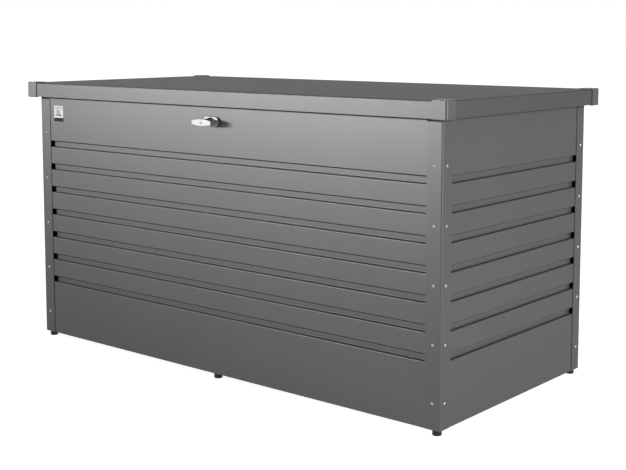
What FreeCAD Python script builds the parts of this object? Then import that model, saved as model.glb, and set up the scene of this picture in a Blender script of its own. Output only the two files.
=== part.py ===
import FreeCAD, Part

import math
import os
import re

import Sketcher

# Deck storage box: four grooved sheet walls between corner posts, a floor tray on three channels and six
# feet, a shallow lid with corner caps on three rear hinges and two gas springs, and a turning handle that
# drives two lock bars into strikers under the lid.
# Frame: origin on the ground under the middle of the box, +X to the right, the front faces -Y, +Z up.
# All sizes are millimetres. Heights in the sheet count from the underside of the body, on top of the feet.

SIZES = {
    "foot_height": 15.5, "foot_radius": 12, "foot_inset_x": 19, "foot_inset_y": 17.7,
    "foot_collar_radius": 14, "foot_collar_height": 1.5,
    "stud_radius": 4, "stud_seat": 5, "stud_grip": 10, "stud_nut_flats": 13, "stud_nut_height": 6.5,
    "body_width": 1541, "body_depth": 722, "wall_height": 800.5, "wall_sheet": 1,
    "post_sheet": 1.5, "post_leg_x": 45.5, "post_leg_y": 43, "post_bend": 4,
    "stiffener_sheet": 1.5, "stiffener_lap": 3.75, "stiffener_depth": 10, "stiffener_leg": 26,
    "sheet_gap": 0.3,
    "groove_first": 167.8, "groove_height": 17.35, "groove_pitch": 73.05, "groove_count": 7,
    "groove_depth": 10, "bend_radius": 3, "vent_front": 8.3, "vent_side": 1.2, "groove_under_post": 20,
    "bottom_flange": 35, "top_flange_front": 15, "top_flange_side": 20,
    "beam_width": 32, "beam_height": 23.5, "beam_sheet": 1.5, "floor_sheet": 1, "floor_lip": 20,
    "top_rail_depth": 12, "top_rail_height": 25,
    "screw_inset_x": 23.3, "screw_inset_y": 20.7, "screw_count": 5, "screw_radius": 2.5,
    "screw_head_radius": 3.9, "screw_head_height": 2.4, "screw_length": 9,
    "screw_nut_flats": 8, "screw_nut_height": 4, "screw_clearance": 0.2,
    "lid_overhang_x": 27, "lid_overhang_y": 26.5, "lid_sheet": 1, "lid_rim": 43.5, "lid_overlap": 34.5,
    "lid_edge": 4,
    "cap_wall": 2.5, "cap_leg_x": 43.5, "cap_leg_y": 40, "cap_edge": 5.5, "cap_round": 2.2,
    "cap_lip_thickness": 2, "cap_lip_width": 7, "cap_lip_gap": 0.3,
    "lid_rail_width": 30, "lid_rail_height": 15, "lid_rail_end": 97.5, "lid_rail_inset": 137.5,
    "bumper_radius": 6, "bumper_inset": 111,
    "hinge_standoff": 8, "hinge_drop": 38, "hinge_inset": 270.5, "hinge_leaf": 1.5,
    "hinge_barrel": 5, "hinge_pin": 2.5, "hinge_knuckle": 25, "hinge_end_play": 0.3, "hinge_fit": 0.05,
    "spring_foot_slat": 4, "spring_inset": 28, "spring_foot_reach": 166, "spring_head_reach": 87, "spring_head_drop": 25,
    "spring_radius": 9, "spring_rod_radius": 4, "spring_stroke": 100, "spring_rod_show": 12,
    "spring_eye_radius": 8, "spring_eye_width": 10, "spring_neck": 14, "spring_bore_gap": 0.06,
    "spring_pivot": 4, "spring_pivot_head": 6.5, "spring_head_plate": 1.5,
    "bracket_sheet": 2, "bracket_width": 30, "bracket_foot": 20, "pivot_gap": 0.3,
    "lock_drop": 80, "rosette_length": 60, "rosette_height": 29.5, "rosette_thick": 7,
    "rosette_corner": 14, "rosette_round": 1.6,
    "handle_reach": 44, "handle_length": 74, "handle_middle": 20, "handle_end": 14.6, "handle_thick": 7,
    "neck_front": 9, "neck_back": 13, "plug_radius": 7, "plug_length": 22, "plug_gap": 0.08,
    "key_slot_length": 7, "key_slot_width": 1.6, "key_slot_depth": 6, "handle_round": 1.4,
    "spindle_radius": 5, "spindle_seat": 8, "spindle_gap": 0.06, "turn_gap": 0.3,
    "tooth_module": 2, "tooth_count": 18, "tooth_play": 0.5, "tooth_root": 1.2, "rack_gap": 0.6,
    "pinion_thick": 6, "bar_set_back": 33.5, "bar_thick": 3, "bar_height": 16, "bar_short": 10,
    "bar_rack_teeth": 13, "bar_slide_gap": 0.3,
    "case_width": 70, "case_sheet": 1.5, "case_depth": 44, "case_half_height": 40,
    "guide_inner": 250, "guide_outer_inset": 170.5, "guide_sheet": 2, "guide_margin": 6,
    "striker_inset": 120.5, "striker_margin": 6, "striker_slack": 2, "striker_foot": 20,
    "label_left": 65.5, "label_width": 45, "label_height": 50, "label_drop": 62.3, "label_thick": 0.4,
}

doc = FreeCAD.newDocument("DeckStorageBox")
sheet = doc.addObject("Spreadsheet::Sheet", "Sheet")
for row, (word, number) in enumerate(SIZES.items(), start=1):
    sheet.set("A%d" % row, word)
    sheet.set("B%d" % row, str(number))
    sheet.setAlias("B%d" % row, word)
doc.recompute()

# Places that several pieces share, as expressions on the sheet.
BODY_X = "(body_width / 2)"
BODY_Y = "(body_depth / 2)"
WALL_X = "(body_width / 2 - post_sheet)"
WALL_Y = "(body_depth / 2 - post_sheet)"
INNER_X = "(body_width / 2 - post_sheet - wall_sheet)"
INNER_Y = "(body_depth / 2 - post_sheet - wall_sheet)"
BOTTOM = "foot_height"
WALL_TOP = "(foot_height + wall_height)"
LID_X = "(body_width / 2 + lid_overhang_x)"
LID_Y = "(body_depth / 2 + lid_overhang_y)"
RIM_BOTTOM = "(foot_height + wall_height - lid_overlap)"
LID_UNDER = "(foot_height + wall_height - lid_overlap + lid_rim - lid_sheet)"
HINGE_Y = "(body_depth / 2 + hinge_standoff)"
HINGE_Z = "(foot_height + wall_height - lid_overlap + lid_rim - hinge_drop)"
SLAT_MIDDLE = "(groove_first + (groove_height + groove_pitch) / 2)"
SPRING_FOOT_Z = "(foot_height + groove_first + (groove_height + groove_pitch) / 2 + spring_foot_slat * groove_pitch)"
SPRING_HEAD_Z = "(foot_height + wall_height - lid_overlap + lid_rim - spring_head_drop)"
SPRING_X = "(body_width / 2 - post_sheet - wall_sheet - spring_inset)"
SPRING_FOOT_Y = "(body_depth / 2 + hinge_standoff - spring_foot_reach)"
SPRING_HEAD_Y = "(body_depth / 2 + hinge_standoff - spring_head_reach)"
LOCK_Z = "(foot_height + wall_height - lock_drop)"
STRIKER_X = "(body_width / 2 - striker_inset)"
BAR_Y = "(body_depth / 2 - post_sheet - bar_set_back)"
PITCH_RADIUS = "(tooth_module * tooth_count / 2)"
TOOTH_ROOT = "(tooth_root * tooth_module)"
BAR_NEAR = "(tooth_module * tooth_count / 2 + tooth_root * tooth_module)"
BAR_MIDDLE = "(tooth_module * tooth_count / 2 + tooth_root * tooth_module + bar_height / 2)"
CHANNEL_BACK_Y = "(body_depth / 2 - post_sheet - groove_depth - wall_sheet)"

PRESSURE_ANGLE = 20

PIECES = {}


def bound(text):
    """Expression text with every size name pointed at its cell in the sheet."""
    return re.sub(r"[a-z]\w*", lambda m: "Sheet." + m[0] if m[0] in SIZES else m[0], str(text))


def value(text):
    """The number that an expression on the sheet gives now."""
    return float(sheet.evalExpression(bound(text)))


def bind(obj, **expressions):
    """Tie properties of an object to the sheet."""
    for name, text in expressions.items():
        obj.setExpression(name, bound(text))
    return obj


def place(obj, x="0", y="0", z="0", angle=0, axis=(0, 0, 1)):
    """Put an object at a place given by expressions, turned by a fixed angle."""
    obj.Placement = FreeCAD.Placement(FreeCAD.Vector(0, 0, 0), FreeCAD.Rotation(FreeCAD.Vector(*axis), angle))
    for direction, text in (("x", x), ("y", y), ("z", z)):
        obj.setExpression("Placement.Base." + direction, bound(text))
    return obj


def piece(obj, label):
    """Name a finished sub-part: its label names its file."""
    obj.Label = label
    PIECES[label] = obj
    return obj


# --- Part primitives -------------------------------------------------------------------------------------

def box(x0, x1, y0, y1, z0, z1):
    """A block between six planes, each an expression."""
    block = doc.addObject("Part::Box", "Block")
    bind(block, Length="(%s) - (%s)" % (x1, x0), Width="(%s) - (%s)" % (y1, y0), Height="(%s) - (%s)" % (z1, z0))
    return place(block, x0, y0, z0)


AXIS_TURN = {"X": ((0, 1, 0), 90), "Y": ((1, 0, 0), -90), "Z": ((0, 0, 1), 0)}


def rod(axis, radius, length, x="0", y="0", z="0"):
    """A cylinder from a start point along +X, +Y or +Z."""
    turn, angle = AXIS_TURN[axis]
    shaft = doc.addObject("Part::Cylinder", "Rod")
    bind(shaft, Radius=radius, Height=length)
    return place(shaft, x, y, z, angle, turn)


def cone(axis, radius_start, radius_end, length, x="0", y="0", z="0"):
    """A cone from a start point along +X, +Y or +Z."""
    turn, angle = AXIS_TURN[axis]
    taper = doc.addObject("Part::Cone", "Taper")
    bind(taper, Radius1=radius_start, Radius2=radius_end, Height=length)
    return place(taper, x, y, z, angle, turn)


def hexagon(axis, flats, height, x="0", y="0", z="0"):
    """A hexagonal prism by its width across flats."""
    turn, angle = AXIS_TURN[axis]
    prism = doc.addObject("Part::Prism", "Hexagon")
    prism.Polygon = 6
    bind(prism, Circumradius="(%s) / 2 / cos(30)" % flats, Height=height)
    return place(prism, x, y, z, angle, turn)


def fuse(*shapes):
    joined = doc.addObject("Part::MultiFuse", "Joined")
    joined.Shapes = list(shapes)
    return joined


def common(*shapes):
    shared = doc.addObject("Part::MultiCommon", "Shared")
    shared.Shapes = list(shapes)
    return shared


def cut(base, *tools):
    """The base less every tool."""
    for tool in tools:
        less = doc.addObject("Part::Cut", "Less")
        less.Base = base
        less.Tool = tool
        base = less
    return base


def group(*shapes):
    """Several separate solids that share one sub-part."""
    together = doc.addObject("Part::Compound", "Group")
    together.Links = list(shapes)
    return together


# --- PartDesign bodies -----------------------------------------------------------------------------------

def new_body(label):
    return piece(doc.addObject("PartDesign::Body", "Body"), label)


def origin_of(body, role):
    return next(item for item in body.Origin.OriginFeatures if item.Role == role)


def tie(sketch, kind, *places_and_text):
    """A sketch constraint, bound to the sheet by its last argument."""
    *places, text = places_and_text
    index = sketch.addConstraint(Sketcher.Constraint(kind, *places, value(text)))
    sketch.setExpression("Constraints[%d]" % index, bound(text))


def hold_point(sketch, shape, point, x, y):
    """Hold a point of a sketch at coordinates given by expressions."""
    for kind, text, axis_line in (("DistanceX", x, -2), ("DistanceY", y, -1)):
        if text == "0":
            sketch.addConstraint(Sketcher.Constraint("PointOnObject", shape, point, axis_line))
        else:
            tie(sketch, kind, -1, 1, shape, point, text)


def new_sketch(body, role, height="0"):
    """An empty sketch on a plane of the body's own origin, lifted along the plane's normal."""
    sketch = body.newObject("Sketcher::SketchObject", "Sketch")
    sketch.AttachmentSupport = [(origin_of(body, role), "")]
    sketch.MapMode = "FlatFace"
    sketch.setExpression("AttachmentOffset.Base.z", bound(height))
    return sketch


def outline(sketch, corners):
    """Add a closed outline whose corners are pairs of expressions."""
    first = sketch.GeometryCount
    points = [FreeCAD.Vector(value(x), value(y), 0) for x, y in corners]
    count = len(points)
    for index in range(count):
        sketch.addGeometry(Part.LineSegment(points[index], points[(index + 1) % count]))
    for index in range(count):
        following = first + (index + 1) % count
        sketch.addConstraint(Sketcher.Constraint("Coincident", first + index, 2, following, 1))
    for index, (x, y) in enumerate(corners):
        hold_point(sketch, first + index, 1, x, y)
    return sketch


def rectangle(sketch, x0, x1, y0, y1):
    return outline(sketch, [(x0, y0), (x1, y0), (x1, y1), (x0, y1)])


def circle(sketch, x, y, radius):
    centre = FreeCAD.Vector(value(x), value(y), 0)
    index = sketch.addGeometry(Part.Circle(centre, FreeCAD.Vector(0, 0, 1), value(radius)))
    hold_point(sketch, index, 3, x, y)
    tie(sketch, "Radius", index, radius)


def grow(body, kind, sketch, length, reverse=False):
    """A Pad or a Pocket from a sketch; a pocket must remove material."""
    doc.recompute()
    before = body.Shape.Volume if body.Tip else 0
    feature = body.newObject("PartDesign::" + kind, kind)
    feature.Profile = sketch
    feature.setExpression("Length", bound(length))
    feature.Reversed = reverse
    body.Tip = feature
    doc.recompute()
    change = body.Shape.Volume - before
    if (kind == "Pad") != (change > 0):
        raise ValueError("%s: %s changes the volume by %.1f" % (body.Label, kind, change))
    return feature


def repeat(body, features, direction, length, occurrences):
    """Repeat features in a row along one of the body's own axes."""
    row = body.newObject("PartDesign::LinearPattern", "Row")
    row.Originals = features
    row.Direction = (origin_of(body, direction), [""])
    row.setExpression("Length", bound(length))
    row.setExpression("Occurrences", bound(occurrences))
    body.Tip = row
    doc.recompute()
    return row


def round_edges(body, radius, chosen):
    """Fillet the edges of the body's present shape that a test chooses."""
    names = ["Edge%d" % number for number, edge in enumerate(body.Shape.Edges, start=1) if chosen(edge)]
    base = body.Tip
    fillet = body.newObject("PartDesign::Fillet", "Fillet")
    fillet.Base = (base, names)
    fillet.setExpression("Radius", bound(radius))
    body.Tip = fillet
    doc.recompute()
    return fillet


def near(a, b):
    return abs(a - b) < 1e-4


def runs_along(edge, axis):
    """True for a straight edge along the given axis, such as "x"."""
    if not isinstance(edge.Curve, Part.Line):
        return False
    direction = edge.Curve.Direction
    return near(abs(getattr(direction, axis)), 1)


# --- Walls -----------------------------------------------------------------------------------------------

def make_wall(label, half_width, flange_half, top_flange, groove_half, floor_half, screw_x, stud_places,
              x, y, angle):
    """One grooved wall. In its own frame x runs along it, its outer face is y = 0 and z starts at its foot."""
    body = new_body(label)
    sketch = rectangle(new_sketch(body, "XZ_Plane"), "-" + half_width, half_width, "0", "wall_height")
    grow(body, "Pad", sketch, "wall_sheet", reverse=True)

    # The folded channel behind each groove, then the groove itself, once each and repeated up the wall.
    sketch = rectangle(new_sketch(body, "XZ_Plane"), "-" + half_width, half_width,
                       "groove_first - wall_sheet", "groove_first + groove_height + wall_sheet")
    channel = grow(body, "Pad", sketch, "groove_depth + wall_sheet", reverse=True)
    repeat(body, [channel], "Z_Axis", "groove_pitch * (groove_count - 1)", "groove_count")
    sketch = rectangle(new_sketch(body, "XZ_Plane"), "-" + half_width, half_width,
                       "groove_first", "groove_first + groove_height")
    groove = grow(body, "Pocket", sketch, "groove_depth")
    repeat(body, [groove], "Z_Axis", "groove_pitch * (groove_count - 1)", "groove_count")

    # Every fold is round: the outside of a bend by the bend radius, its inside by that less the sheet.
    depth = value("groove_depth")
    thick = value("wall_sheet")
    steps = [value("groove_first + %d * groove_pitch" % k) for k in range(int(value("groove_count")))]
    ledges = steps + [step + value("groove_height") for step in steps]
    backs = [step - thick for step in steps] + [step + value("groove_height") + thick for step in steps]

    def on_fold(edge, levels, at_depth):
        middle = edge.BoundBox.Center
        return runs_along(edge, "x") and near(middle.y, at_depth) and any(near(middle.z, z) for z in levels)

    round_edges(body, "bend_radius - wall_sheet", lambda e: on_fold(e, ledges, depth) or on_fold(e, backs, thick))
    round_edges(body, "bend_radius", lambda e: on_fold(e, ledges, 0) or on_fold(e, backs, depth + thick))

    # The channels are cut back behind the posts, where the next wall's channels need the room.
    sketch = new_sketch(body, "XZ_Plane", "-wall_sheet")
    for low, high in (("-" + half_width, "-" + groove_half), (groove_half, half_width)):
        rectangle(sketch, low, high, "0", "wall_height")
    grow(body, "Pocket", sketch, "groove_depth + 2 * wall_sheet")

    # The groove's floor stops short of its ends, which leaves a vent behind the post.
    sketch = new_sketch(body, "XZ_Plane")
    for low, high in (("-" + groove_half, "-" + floor_half), (floor_half, groove_half)):
        rectangle(sketch, low, high, "groove_first", "groove_first + groove_height")
    vent = grow(body, "Pocket", sketch, "groove_depth + 2 * wall_sheet")
    repeat(body, [vent], "Z_Axis", "groove_pitch * (groove_count - 1)", "groove_count")

    # Turned-in flanges at the foot and the top.
    sketch = rectangle(new_sketch(body, "XY_Plane"), "-" + flange_half, flange_half, "0", "bottom_flange")
    grow(body, "Pad", sketch, "wall_sheet")
    sketch = rectangle(new_sketch(body, "XY_Plane", "wall_height - wall_sheet"),
                       "-" + flange_half, flange_half, "0", top_flange)
    grow(body, "Pad", sketch, "wall_sheet")

    # Holes for the post screws, on every second slat, and for the foot studs.
    sketch = new_sketch(body, "XZ_Plane")
    for side in ("-", ""):
        circle(sketch, side + screw_x, SLAT_MIDDLE + " - 2 * groove_pitch", "screw_radius + screw_clearance")
    hole = grow(body, "Pocket", sketch, "2 * wall_sheet")
    repeat(body, [hole], "Z_Axis", "2 * groove_pitch * (screw_count - 1)", "screw_count")
    sketch = new_sketch(body, "XY_Plane")
    for stud_x, stud_y in stud_places:
        circle(sketch, stud_x, stud_y, "stud_radius + screw_clearance")
    grow(body, "Pocket", sketch, "2 * wall_sheet", reverse=True)
    return place(body, x, y, BOTTOM, angle)


def make_walls():
    long_wall = dict(
        half_width="(body_width / 2 - post_bend - sheet_gap)",
        flange_half="(body_width / 2 - post_sheet - bottom_flange - sheet_gap)",
        top_flange="top_flange_front",
        groove_half="(body_width / 2 - post_leg_x + groove_under_post)",
        floor_half="(body_width / 2 - post_leg_x - vent_front)",
        screw_x="(body_width / 2 - screw_inset_x)",
        stud_places=[("0", "foot_inset_y - post_sheet")],
    )
    short_wall = dict(
        half_width="(body_depth / 2 - post_bend - sheet_gap)",
        flange_half="(body_depth / 2 - post_bend - sheet_gap)",
        top_flange="top_flange_side",
        groove_half="(body_depth / 2 - post_leg_y + groove_under_post)",
        floor_half="(body_depth / 2 - post_leg_y - vent_side)",
        screw_x="(body_depth / 2 - screw_inset_y)",
        stud_places=[
            ("-(body_depth / 2 - foot_inset_y)", "foot_inset_x - post_sheet"),
            ("(body_depth / 2 - foot_inset_y)", "foot_inset_x - post_sheet"),
        ],
    )
    front = make_wall("front_panel", x="0", y="-" + WALL_Y, angle=0, **long_wall)
    sketch = new_sketch(front, "XZ_Plane")
    circle(sketch, "0", "wall_height - lock_drop", "neck_front")
    grow(front, "Pocket", sketch, "2 * wall_sheet")
    make_wall("rear_panel", x="0", y=WALL_Y, angle=180, **long_wall)
    make_wall("right_panel", x=WALL_X, y="0", angle=90, **short_wall)
    make_wall("left_panel", x="-" + WALL_X, y="0", angle=-90, **short_wall)


# --- Corner posts ----------------------------------------------------------------------------------------

CORNERS = [("front_left", "-", "-"), ("front_right", "", "-"), ("rear_left", "-", ""), ("rear_right", "", "")]


def flip(sign):
    """The sign that points the other way: towards the middle of the box."""
    return "" if sign == "-" else "-"


def make_post(label, side_x, side_y):
    """An angle whose outer corner is its own origin; its legs point to the middle of the box."""
    body = new_body(label)
    to_x = flip(side_x)
    to_y = flip(side_y)
    corners = [("0", "0"), (to_x + "post_leg_x", "0"), (to_x + "post_leg_x", to_y + "post_sheet"),
               (to_x + "post_sheet", to_y + "post_sheet"), (to_x + "post_sheet", to_y + "post_leg_y"),
               ("0", to_y + "post_leg_y")]
    grow(body, "Pad", outline(new_sketch(body, "XY_Plane"), corners), "wall_height")

    inner = value("post_sheet")

    def upright_at(edge, distance):
        middle = edge.BoundBox.Center
        return runs_along(edge, "z") and near(abs(middle.x), distance) and near(abs(middle.y), distance)

    round_edges(body, "post_bend - post_sheet", lambda edge: upright_at(edge, inner))
    round_edges(body, "post_bend", lambda edge: upright_at(edge, 0))

    spacing = "2 * groove_pitch * (screw_count - 1)"
    first = SLAT_MIDDLE + " - 2 * groove_pitch"
    for plane, across, inward in (("XZ_Plane", to_x + "screw_inset_x", side_y == ""),
                                  ("YZ_Plane", to_y + "screw_inset_y", side_x == "-")):
        sketch = new_sketch(body, plane)
        circle(sketch, across, first, "screw_radius + screw_clearance")
        hole = grow(body, "Pocket", sketch, "2 * post_sheet", reverse=inward)
        repeat(body, [hole], "Z_Axis", spacing, "screw_count")
    place(body, side_x + BODY_X, side_y + BODY_Y, BOTTOM)


def make_stiffeners():
    """An upright angle inside each corner: it stands on the floor tray, under the walls' top flanges."""
    solids = []
    low = BOTTOM + " + wall_sheet + beam_height + floor_sheet"
    high = WALL_TOP + " - wall_sheet"
    edge_x = "(body_width / 2 - post_leg_x + groove_under_post - stiffener_lap)"
    for _, side_x, side_y in CORNERS:
        def block(reach_x, reach_y):
            """Limits on X and Y given as distances from the middle of the box, on this corner's side."""
            limits = []
            for sign, (near_side, far_side) in ((side_x, reach_x), (side_y, reach_y)):
                limits += [near_side, far_side] if sign == "" else ["-(%s)" % far_side, "-(%s)" % near_side]
            return box(*limits, low, high)

        lap = block((edge_x, edge_x + " + stiffener_depth"), (CHANNEL_BACK_Y + " - stiffener_sheet", CHANNEL_BACK_Y))
        web = block((edge_x + " + stiffener_depth - stiffener_sheet", edge_x + " + stiffener_depth"),
                    (CHANNEL_BACK_Y + " - stiffener_leg", CHANNEL_BACK_Y))
        solids.append(fuse(lap, web))
    piece(group(*solids), "corner_stiffeners")


# --- Fasteners -------------------------------------------------------------------------------------------

def screw_places():
    """Every post screw: a point on the post's outer face and the direction into the box."""
    places = []
    for index in range(int(value("screw_count"))):
        z = value("%s + %s + %d * groove_pitch" % (BOTTOM, SLAT_MIDDLE, 2 * index - 2))
        for sign_a in (-1, 1):
            for sign_b in (-1, 1):
                x = sign_a * value(BODY_X + " - screw_inset_x")
                y = sign_b * value(BODY_Y)
                places.append((FreeCAD.Vector(x, y, z), FreeCAD.Vector(0, -sign_b, 0)))
                x = sign_a * value(BODY_X)
                y = sign_b * value(BODY_Y + " - screw_inset_y")
                places.append((FreeCAD.Vector(x, y, z), FreeCAD.Vector(-sign_a, 0, 0)))
    return places


def dome_screw():
    """One screw along +Z: a low dome below z = 0 and its shank above."""
    head = value("screw_head_radius")
    height = value("screw_head_height")
    ball = (head ** 2 + height ** 2) / (2 * height)
    dome = Part.makeSphere(ball, FreeCAD.Vector(0, 0, ball - height))
    keep = Part.makeCylinder(head, height, FreeCAD.Vector(0, 0, -height))
    shank = Part.makeCylinder(value("screw_radius"), value("screw_length"))
    return dome.common(keep).fuse(shank).removeSplitter()


def hex_nut():
    """One nut along +Z, bored for its screw."""
    flats = value("screw_nut_flats")
    reach = flats / 2 / math.cos(math.pi / 6)
    turns = [k * math.pi / 3 for k in range(7)]
    ring = [FreeCAD.Vector(reach * math.cos(turn), reach * math.sin(turn), 0) for turn in turns]
    prism = Part.Face(Part.makePolygon(ring)).extrude(FreeCAD.Vector(0, 0, value("screw_nut_height")))
    return prism.cut(Part.makeCylinder(value("screw_radius + screw_clearance / 4"), value("2 * screw_nut_height")))


def make_fasteners():
    """Forty screws share one sub-part, and so do their nuts: no primitive makes such a scattered set."""
    for label, one, lift in (("corner_screws", dome_screw(), 0),
                             ("corner_nuts", hex_nut(), value("post_sheet + wall_sheet"))):
        copies = []
        for point, inward in screw_places():
            turned = FreeCAD.Rotation(FreeCAD.Vector(0, 0, 1), inward)
            copy = one.copy()
            copy.Placement = FreeCAD.Placement(point + inward * lift, turned)
            copies.append(copy)
        fasteners = doc.addObject("Part::Feature", "Fasteners")
        fasteners.Shape = Part.makeCompound(copies)
        fasteners.Placement = FreeCAD.Placement()
        piece(fasteners, label)


# --- Floor and feet --------------------------------------------------------------------------------------

FOOT_COLUMNS = [("left", "-(body_width / 2 - foot_inset_x)"), ("center", "0"),
                ("right", "(body_width / 2 - foot_inset_x)")]
FOOT_ROWS = [("front", "-(body_depth / 2 - foot_inset_y)"), ("rear", "(body_depth / 2 - foot_inset_y)")]


def make_beam(label, x):
    """A channel, open at the top, that runs from the front wall to the rear wall on their bottom flanges."""
    body = new_body(label)
    half = "beam_width / 2"
    end = "(body_depth / 2 - post_sheet - wall_sheet - bend_radius)"
    wall = "(beam_width / 2 - beam_sheet)"
    grow(body, "Pad", rectangle(new_sketch(body, "XY_Plane"), "-" + half, half, "-" + end, end), "beam_height")
    sketch = rectangle(new_sketch(body, "XY_Plane", "beam_height"), "-" + wall, wall, "-" + end, end)
    grow(body, "Pocket", sketch, "beam_height - beam_sheet")
    sketch = new_sketch(body, "XY_Plane")
    for _, y in FOOT_ROWS:
        circle(sketch, "0", y, "stud_radius + screw_clearance")
    grow(body, "Pocket", sketch, "2 * beam_sheet", reverse=True)
    place(body, x, "0", BOTTOM + " + wall_sheet")


def make_floor():
    """A shallow tray that lies on the three channels."""
    body = new_body("floor_panel")
    x = "(body_width / 2 - post_sheet - wall_sheet - bend_radius)"
    y = "(body_depth / 2 - post_sheet - wall_sheet - bend_radius)"
    inner_x = "(body_width / 2 - post_sheet - wall_sheet - bend_radius - floor_sheet)"
    inner_y = "(body_depth / 2 - post_sheet - wall_sheet - bend_radius - floor_sheet)"
    grow(body, "Pad", rectangle(new_sketch(body, "XY_Plane"), "-" + x, x, "-" + y, y), "floor_lip")
    sketch = rectangle(new_sketch(body, "XY_Plane", "floor_lip"), "-" + inner_x, inner_x, "-" + inner_y, inner_y)
    grow(body, "Pocket", sketch, "floor_lip - floor_sheet")
    place(body, "0", "0", BOTTOM + " + wall_sheet + beam_height")
    for side, x in FOOT_COLUMNS:
        make_beam("floor_beam_" + side, x)


def make_feet():
    studs = []
    for row, y in FOOT_ROWS:
        for column, x in FOOT_COLUMNS:
            pad = rod("Z", "foot_radius", "foot_height", x, y)
            collar = rod("Z", "foot_collar_radius", "foot_collar_height", x, y, "foot_height - foot_collar_height")
            seat = rod("Z", "stud_radius + spindle_gap", "foot_height", x, y, "stud_seat")
            piece(cut(fuse(pad, collar), seat), "foot_%s_%s" % (row, column))
            floor = "foot_height + wall_sheet + beam_sheet"
            shank = rod("Z", "stud_radius", floor + " - stud_seat + stud_grip", x, y, "stud_seat")
            nut = hexagon("Z", "stud_nut_flats", "stud_nut_height", x, y, floor)
            studs.append(fuse(shank, nut))
    piece(group(*studs), "foot_studs")


def make_top_rails():
    """A folded channel inside the top of the front and rear walls, open towards the wall."""
    half = "(body_width / 2 - post_leg_x)"
    low = WALL_TOP + " - wall_sheet - top_rail_height"
    high = WALL_TOP + " - wall_sheet"
    for label, side in (("front_top_rail", "-"), ("rear_top_rail", "")):
        near_wall = INNER_Y
        far = "(%s - top_rail_depth)" % INNER_Y
        inner = "(%s - top_rail_depth + post_sheet)" % INNER_Y
        if side == "-":
            outer = box("-" + half, half, "-" + near_wall, "-" + far, low, high)
            hollow = box("-" + half, half, "-" + near_wall, "-" + inner, low + " + post_sheet", high + " - post_sheet")
        else:
            outer = box("-" + half, half, far, near_wall, low, high)
            hollow = box("-" + half, half, inner, near_wall, low + " + post_sheet", high + " - post_sheet")
        piece(cut(outer, hollow), label)


# --- Lid -------------------------------------------------------------------------------------------------

def make_lid_shell():
    body = new_body("lid_shell")
    outline_of = rectangle(new_sketch(body, "XY_Plane"), "-" + LID_X, LID_X, "-" + LID_Y, LID_Y)
    grow(body, "Pad", outline_of, "lid_rim")
    top = value("lid_rim")
    round_edges(body, "lid_edge", lambda edge: runs_along(edge, "z") or near(edge.BoundBox.ZMin, top))
    underside = next("Face%d" % number for number, face in enumerate(body.Shape.Faces, start=1)
                     if near(face.BoundBox.ZMax, 0))
    base = body.Tip
    shell = body.newObject("PartDesign::Thickness", "Shell")
    shell.Base = (base, [underside])
    shell.setExpression("Value", bound("lid_sheet"))
    shell.Reversed = True
    body.Tip = shell
    doc.recompute()
    place(body, "0", "0", RIM_BOTTOM)


def make_cap(label, side_x, side_y):
    """A corner cap. Its own origin is its outer bottom corner, and it reaches to the middle of the lid."""
    body = new_body(label)
    to_x = flip(side_x)
    to_y = flip(side_y)
    height = "(lid_rim + cap_wall + cap_lip_gap + cap_lip_thickness)"
    block = rectangle(new_sketch(body, "XY_Plane"), "0", to_x + "cap_leg_x", "0", to_y + "cap_leg_y")
    grow(body, "Pad", block, height)

    def outer(edge):
        middle = edge.BoundBox.Center
        return near(middle.x, 0) or near(middle.y, 0)

    round_edges(body, "cap_edge", lambda edge: runs_along(edge, "z") and near(edge.BoundBox.Center.x, 0)
                and near(edge.BoundBox.Center.y, 0))
    top = value(height)
    corner = value("cap_edge")

    def outline_edge(edge, z):
        box_of = edge.BoundBox
        on_level = near(box_of.ZMin, z) and near(box_of.ZMax, z)
        near_outside = min(abs(box_of.Center.x), abs(box_of.Center.y)) < corner
        return on_level and near_outside

    round_edges(body, "cap_round", lambda edge: outline_edge(edge, top) or outline_edge(edge, 0))

    room = rectangle(new_sketch(body, "XY_Plane", "cap_lip_thickness"), to_x + "cap_wall",
                     to_x + "(cap_leg_x + 1)", to_y + "cap_wall", to_y + "(cap_leg_y + 1)")
    grow(body, "Pocket", room, "lid_rim + cap_lip_gap", reverse=True)
    lip = "(cap_wall + cap_lip_width)"
    post_room = rectangle(new_sketch(body, "XY_Plane"), to_x + lip, to_x + "(cap_leg_x + 1)",
                          to_y + lip, to_y + "(cap_leg_y + 1)")
    grow(body, "Pocket", post_room, "cap_lip_thickness + cap_lip_gap", reverse=True)
    place(body, side_x + "(%s + cap_wall)" % LID_X, side_y + "(%s + cap_wall)" % LID_Y,
          RIM_BOTTOM + " - cap_lip_gap - cap_lip_thickness")


def make_lid_rail(label, y):
    """A stiffening channel under the lid, open upwards against the sheet."""
    body = new_body(label)
    x = "(%s - lid_rail_end)" % LID_X
    half = "lid_rail_width / 2"
    inner = "(lid_rail_width / 2 - beam_sheet)"
    grow(body, "Pad", rectangle(new_sketch(body, "XY_Plane"), "-" + x, x, "-" + half, half), "lid_rail_height")
    sketch = rectangle(new_sketch(body, "XY_Plane", "lid_rail_height"), "-" + x, x, "-" + inner, inner)
    grow(body, "Pocket", sketch, "lid_rail_height - beam_sheet")
    place(body, "0", y, LID_UNDER + " - lid_rail_height")


def make_lid():
    make_lid_shell()
    for corner, side_x, side_y in CORNERS:
        make_cap("lid_cap_" + corner, side_x, side_y)
    make_lid_rail("lid_rail_front", "-(%s - lid_rail_inset)" % LID_Y)
    make_lid_rail("lid_rail_rear", "(%s - lid_rail_inset)" % LID_Y)
    bumpers = []
    for side_x in ("-", ""):
        for side_y in ("-", ""):
            bumpers.append(rod("Z", "bumper_radius", LID_UNDER + " - pivot_gap - " + WALL_TOP,
                               side_x + "(%s - top_flange_side / 2)" % WALL_X, side_y + "(%s - bumper_inset)" % BODY_Y,
                               WALL_TOP))
    piece(group(*bumpers), "lid_bumpers")


# --- Hinges ----------------------------------------------------------------------------------------------

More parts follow.
